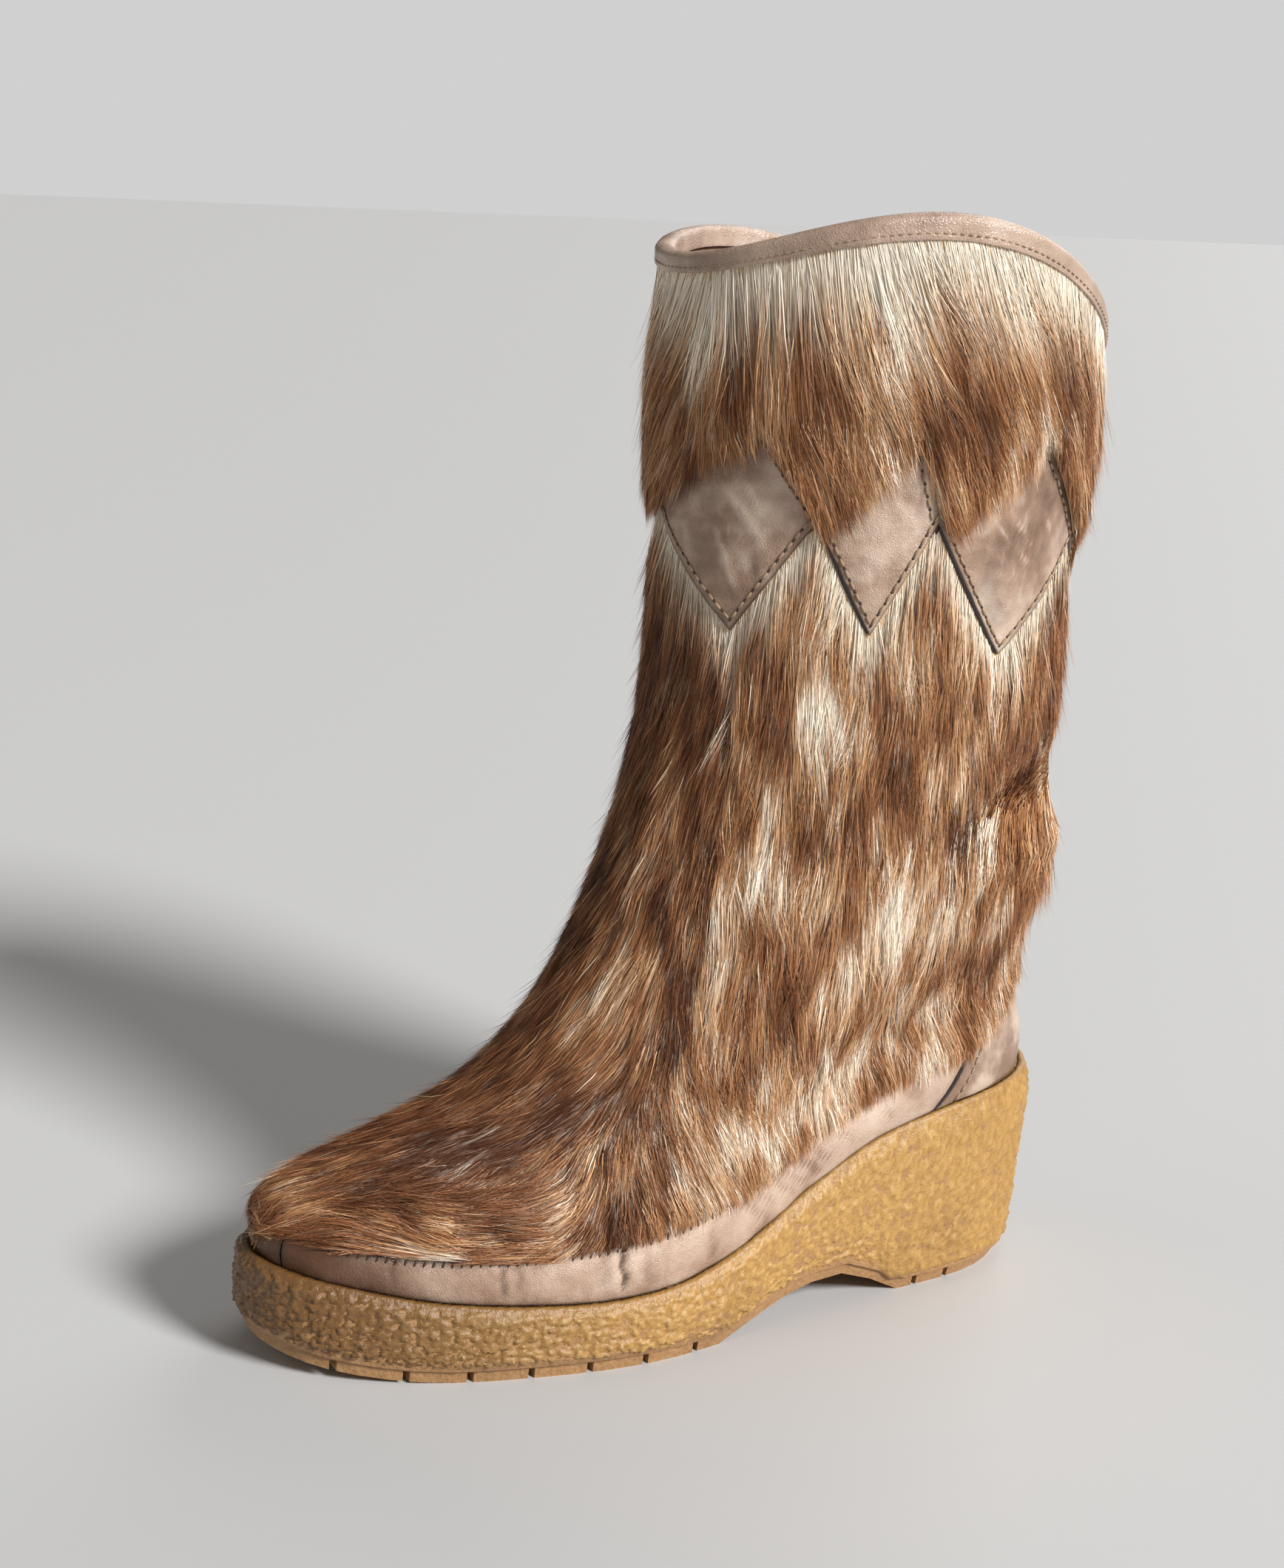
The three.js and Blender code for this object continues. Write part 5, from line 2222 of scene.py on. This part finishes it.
@dataclass
class CrepeSole:
    """The moulded sole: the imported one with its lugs, and the lumps of crepe on its wall.

    Lengths are in millimetres. Rings and rows start from the lowest. The columns are spread along the ring
    with the number widest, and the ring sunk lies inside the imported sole.
    """

    columns: int = 740
    rows: tuple[int, ...] = (2, 3, 13, 13, 11, 5, 1)
    lump: float = 2.1
    depth: float = 2.2
    crumb: float = 1.6
    rings: tuple[Ring, ...] = (
        Ring(0.0, 4.2, 3.2, 7.0),
        Ring(0.0, 4.5, 1.2, 5.0),
        Ring(0.0, 6.0, 0.35, 4.1),
        Ring(0.3, 0.6, -0.45, 2.9),
        Ring(0.6, 0.0, -0.5, 1.3),
        Ring(0.88, 0.0, 0.0, 0.0),
        Ring(1.0, 0.15, 1.8, 1.8),
        Ring(1.0, 0.15, 4.0, 4.0),
    )
    widest: int = 4
    sunk: Ring = Ring(0.5, 0.0, 5.0, 7.0)
    ground_from_toe: Table = (0, 18, 40, 52, 138, 141, 155, 175, 188, 198, 205, 271)
    ground_height: Table = (8, 3.6, 0.6, 0, 0, 1.5, 6, 9.6, 9.4, 5, 0, 0)

    def ground(self, from_toe: Array) -> Array:
        """Height of the ground line at distances from the toe tip."""
        return np.maximum(0, read_smoothly(self.ground_from_toe, self.ground_height, from_toe))

    def wall_point(self, u: Array, ring: Ring) -> Array:
        """Points of the wall on one ring.

        Args:
            u: Angles round the sole.
            ring: The ring.

        Returns:
            Points in millimetres.
        """
        along = along_foot(u)
        inset = ring.inset + (ring.heel_inset - ring.inset) * along**4
        from_toe = ring.inset + (LAST.sole_length - inset - ring.inset) * along
        ground = self.ground(from_toe)
        z = ground + (LAST.seat(from_toe) - ground) * ring.share + ring.lift
        x = -LAST.toe_swing * (1 - along) ** 2 + np.sin(u) * (LAST.outline(u) - inset)
        return np.stack([x, LAST.toe_y + from_toe, z], axis=-1)

    def even_angles(self) -> Array:
        """Angles whose places are evenly apart round the wall.

        Returns:
            One angle for each column.
        """
        fine = np.linspace(0, 2 * np.pi, 4001)
        run = run_along(self.wall_point(fine, self.rings[self.widest]))
        return np.interp(np.linspace(0, run[-1], self.columns + 1)[:-1], run, fine)

    def wall(self) -> Piece:
        """Makes the wall's skin.

        Returns:
            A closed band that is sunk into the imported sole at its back.
        """
        u = self.even_angles()
        lines = [self.wall_point(u, ring) for ring in self.rings]
        places = []
        for low, high, count in zip(lines[:-1], lines[1:], self.rows):
            places += [low + (high - low) * k / count for k in range(count)]
        places += [lines[-1], self.wall_point(u, self.sunk), lines[0]]
        return grid_piece("crepe_wall", np.stack(places), True)

    def build(self) -> None:
        """Raises the lumps on the wall and dresses both pieces."""
        piece = self.wall()
        before = points_of(piece)
        self.mark_wall(piece, before)
        lumps = bpy.data.textures.new("crepe lumps", "VORONOI")
        lumps.noise_scale = self.lump * MM
        crumbs = bpy.data.textures.new("crepe crumbs", "CLOUDS")
        crumbs.noise_type = "HARD_NOISE"
        crumbs.noise_scale = self.crumb * MM
        crumbs.noise_depth = 3
        only(piece)
        for texture, share, mid_level in ((lumps, -0.7, 0.6), (crumbs, 0.9, 0.25)):
            raised = piece.modifiers.new("lumps", "DISPLACE")
            raised.texture = texture
            raised.texture_coords = "LOCAL"
            raised.strength = share * self.depth * MM
            raised.mid_level = mid_level
            raised.vertex_group = "crepe"
            bpy.ops.object.modifier_apply(modifier=raised.name)
        bpy.ops.object.shade_smooth()
        add_mark(piece, CREPE.lumps, np.linalg.norm(points_of(piece) - before, axis=1) / (self.depth * MM))
        # Darker towards the toe: scuffs with painted shade.
        add_mark(piece, "toe_grime_and_shade", 1 - smooth_step(16, 125, before[:, 1] / MM - LAST.toe_y))
        piece.vertex_groups.clear()
        place(piece, CREPE.material(), "crepe")
        dress(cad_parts["sole"], GUM.material())

    def mark_wall(self, piece: Piece, places: Array) -> None:
        """Marks the wall for lumps, and leaves its rim and its foot smoother.

        Args:
            piece: The wall.
            places: Its points, in metres.
        """
        steps = 10
        group = piece.vertex_groups.new(name="crepe")
        from_toe = places[:, 1] / MM - LAST.toe_y
        z = places[:, 2] / MM
        foot = smooth_step(4.6, 6.6, z - self.ground(from_toe))
        rim = 1 - 0.85 * smooth_step(-2.2, 0.0, z - LAST.seat(from_toe))
        weight = foot * rim
        for share in np.linspace(1 / steps, 1, steps):
            chosen = np.nonzero(np.abs(weight - share) <= 0.5 / steps)[0]
            group.add(chosen.tolist(), float(share), "REPLACE")


@dataclass(frozen=True)
class Light:
    """One wide, even light from a direction, as through a large window. Its spread is in degrees."""

    name: str
    spot: tuple[float, float, float]
    spread: float
    power: float

    def build(self) -> None:
        """Hangs the light."""
        data = bpy.data.lights.new(self.name, "SUN")
        data.angle = math.radians(self.spread)
        data.energy = self.power
        lamp = bpy.data.objects.new(self.name, data)
        lamp.rotation_euler = (-Vector(self.spot)).to_track_quat("-Z", "Y").to_euler()
        bpy.context.scene.collection.objects.link(lamp)


@dataclass
class Studio:
    """Camera, floor and light.

    Lengths are in millimetres, angles in degrees, and focal and photo_height in pixels of the photograph.
    The floor's width is in metres.
    """

    azimuth: float = 61.12
    distance: float = 723.69
    height: float = 339.23
    yaw: float = 0.97
    pitch: float = 13.57
    roll: float = 2.6
    focal: float = 3300.0
    photo_height: float = 2120.0
    aim_y: float = 1.9
    sensor: float = 36.0
    floor_size: float = 60
    room_colour: Colour = (1.0, 0.95, 0.88)
    room_light: float = 0.16
    backdrop: float = 0.62
    backdrop_light: float = 1.02
    lights: tuple[Light, ...] = (
        Light("key", (1.8, 0.75, 1.3), 16, 4.6),
        Light("fill", (-0.7, 1.2, 0.8), 45, 0.9),
        Light("front", (-0.4, -1.2, 0.7), 45, 0.28),
    )

    def camera(self) -> None:
        """Sets the camera at the photograph's angle."""
        a, e, turn = math.radians(self.azimuth), math.radians(self.pitch), math.radians(self.roll)
        facing = a + math.radians(self.yaw)
        back = self.aim_y - math.cos(a) * self.distance
        spot = Vector((math.sin(a) * self.distance, back, self.height)) * MM
        ahead = Vector((-math.sin(facing) * math.cos(e), math.cos(facing) * math.cos(e), -math.sin(e)))
        right = Vector((math.cos(facing), math.sin(facing), 0))
        up = right.cross(ahead)
        right, up = right * math.cos(turn) + up * math.sin(turn), up * math.cos(turn) - right * math.sin(turn)
        data = bpy.data.cameras.new("camera")
        data.sensor_fit = "VERTICAL"
        data.sensor_height = self.sensor
        data.lens = self.sensor * self.focal / self.photo_height
        camera = bpy.data.objects.new("camera", data)
        basis = Matrix((right, up, -ahead)).transposed().to_4x4()
        camera.matrix_world = Matrix.Translation(spot) @ basis
        bpy.context.scene.collection.objects.link(camera)
        bpy.context.scene.camera = camera

    def floor(self) -> None:
        """Lays a pale, level floor under the boot."""
        bpy.ops.object.select_all(action="DESELECT")
        bpy.ops.mesh.primitive_plane_add(size=self.floor_size)
        floor = bpy.context.object
        floor.name = "floor"
        floor.data.materials.append(FLOOR.material())

    def room(self) -> None:
        """Sets even light from all round, before a plain grey backdrop."""
        world = bpy.data.worlds.new("room")
        world.use_nodes = True
        nodes = Nodes(world.node_tree)
        light = world.node_tree.nodes["Background"]
        nodes.fill(light, {"Color": (*self.room_colour, 1), "Strength": self.room_light})
        grey = (self.backdrop, self.backdrop, self.backdrop, 1)
        seen = nodes.add("ShaderNodeBackground", {"Color": grey, "Strength": self.backdrop_light})
        ray = nodes.add("ShaderNodeLightPath").outputs["Is Camera Ray"]
        both = nodes.add("ShaderNodeMixShader", {0: ray, 1: light.outputs[0], 2: seen.outputs[0]})
        nodes.fill(world.node_tree.nodes["World Output"], {"Surface": both.outputs[0]})
        bpy.context.scene.world = world

    def build(self) -> None:
        """Sets up the camera, the floor and the light."""
        self.camera()
        self.floor()
        for light in self.lights:
            light.build()
        self.room()
        bpy.context.scene.view_settings.view_transform = "Standard"


def main() -> None:
    """Builds the boot and its room."""
    logging.basicConfig(level=logging.INFO)
    Studio().build()
    CrepeSole().build()
    Shell().build()
    LeatherTrim().build()
    FurUpper().build()


if __name__ == "__main__":
    main()
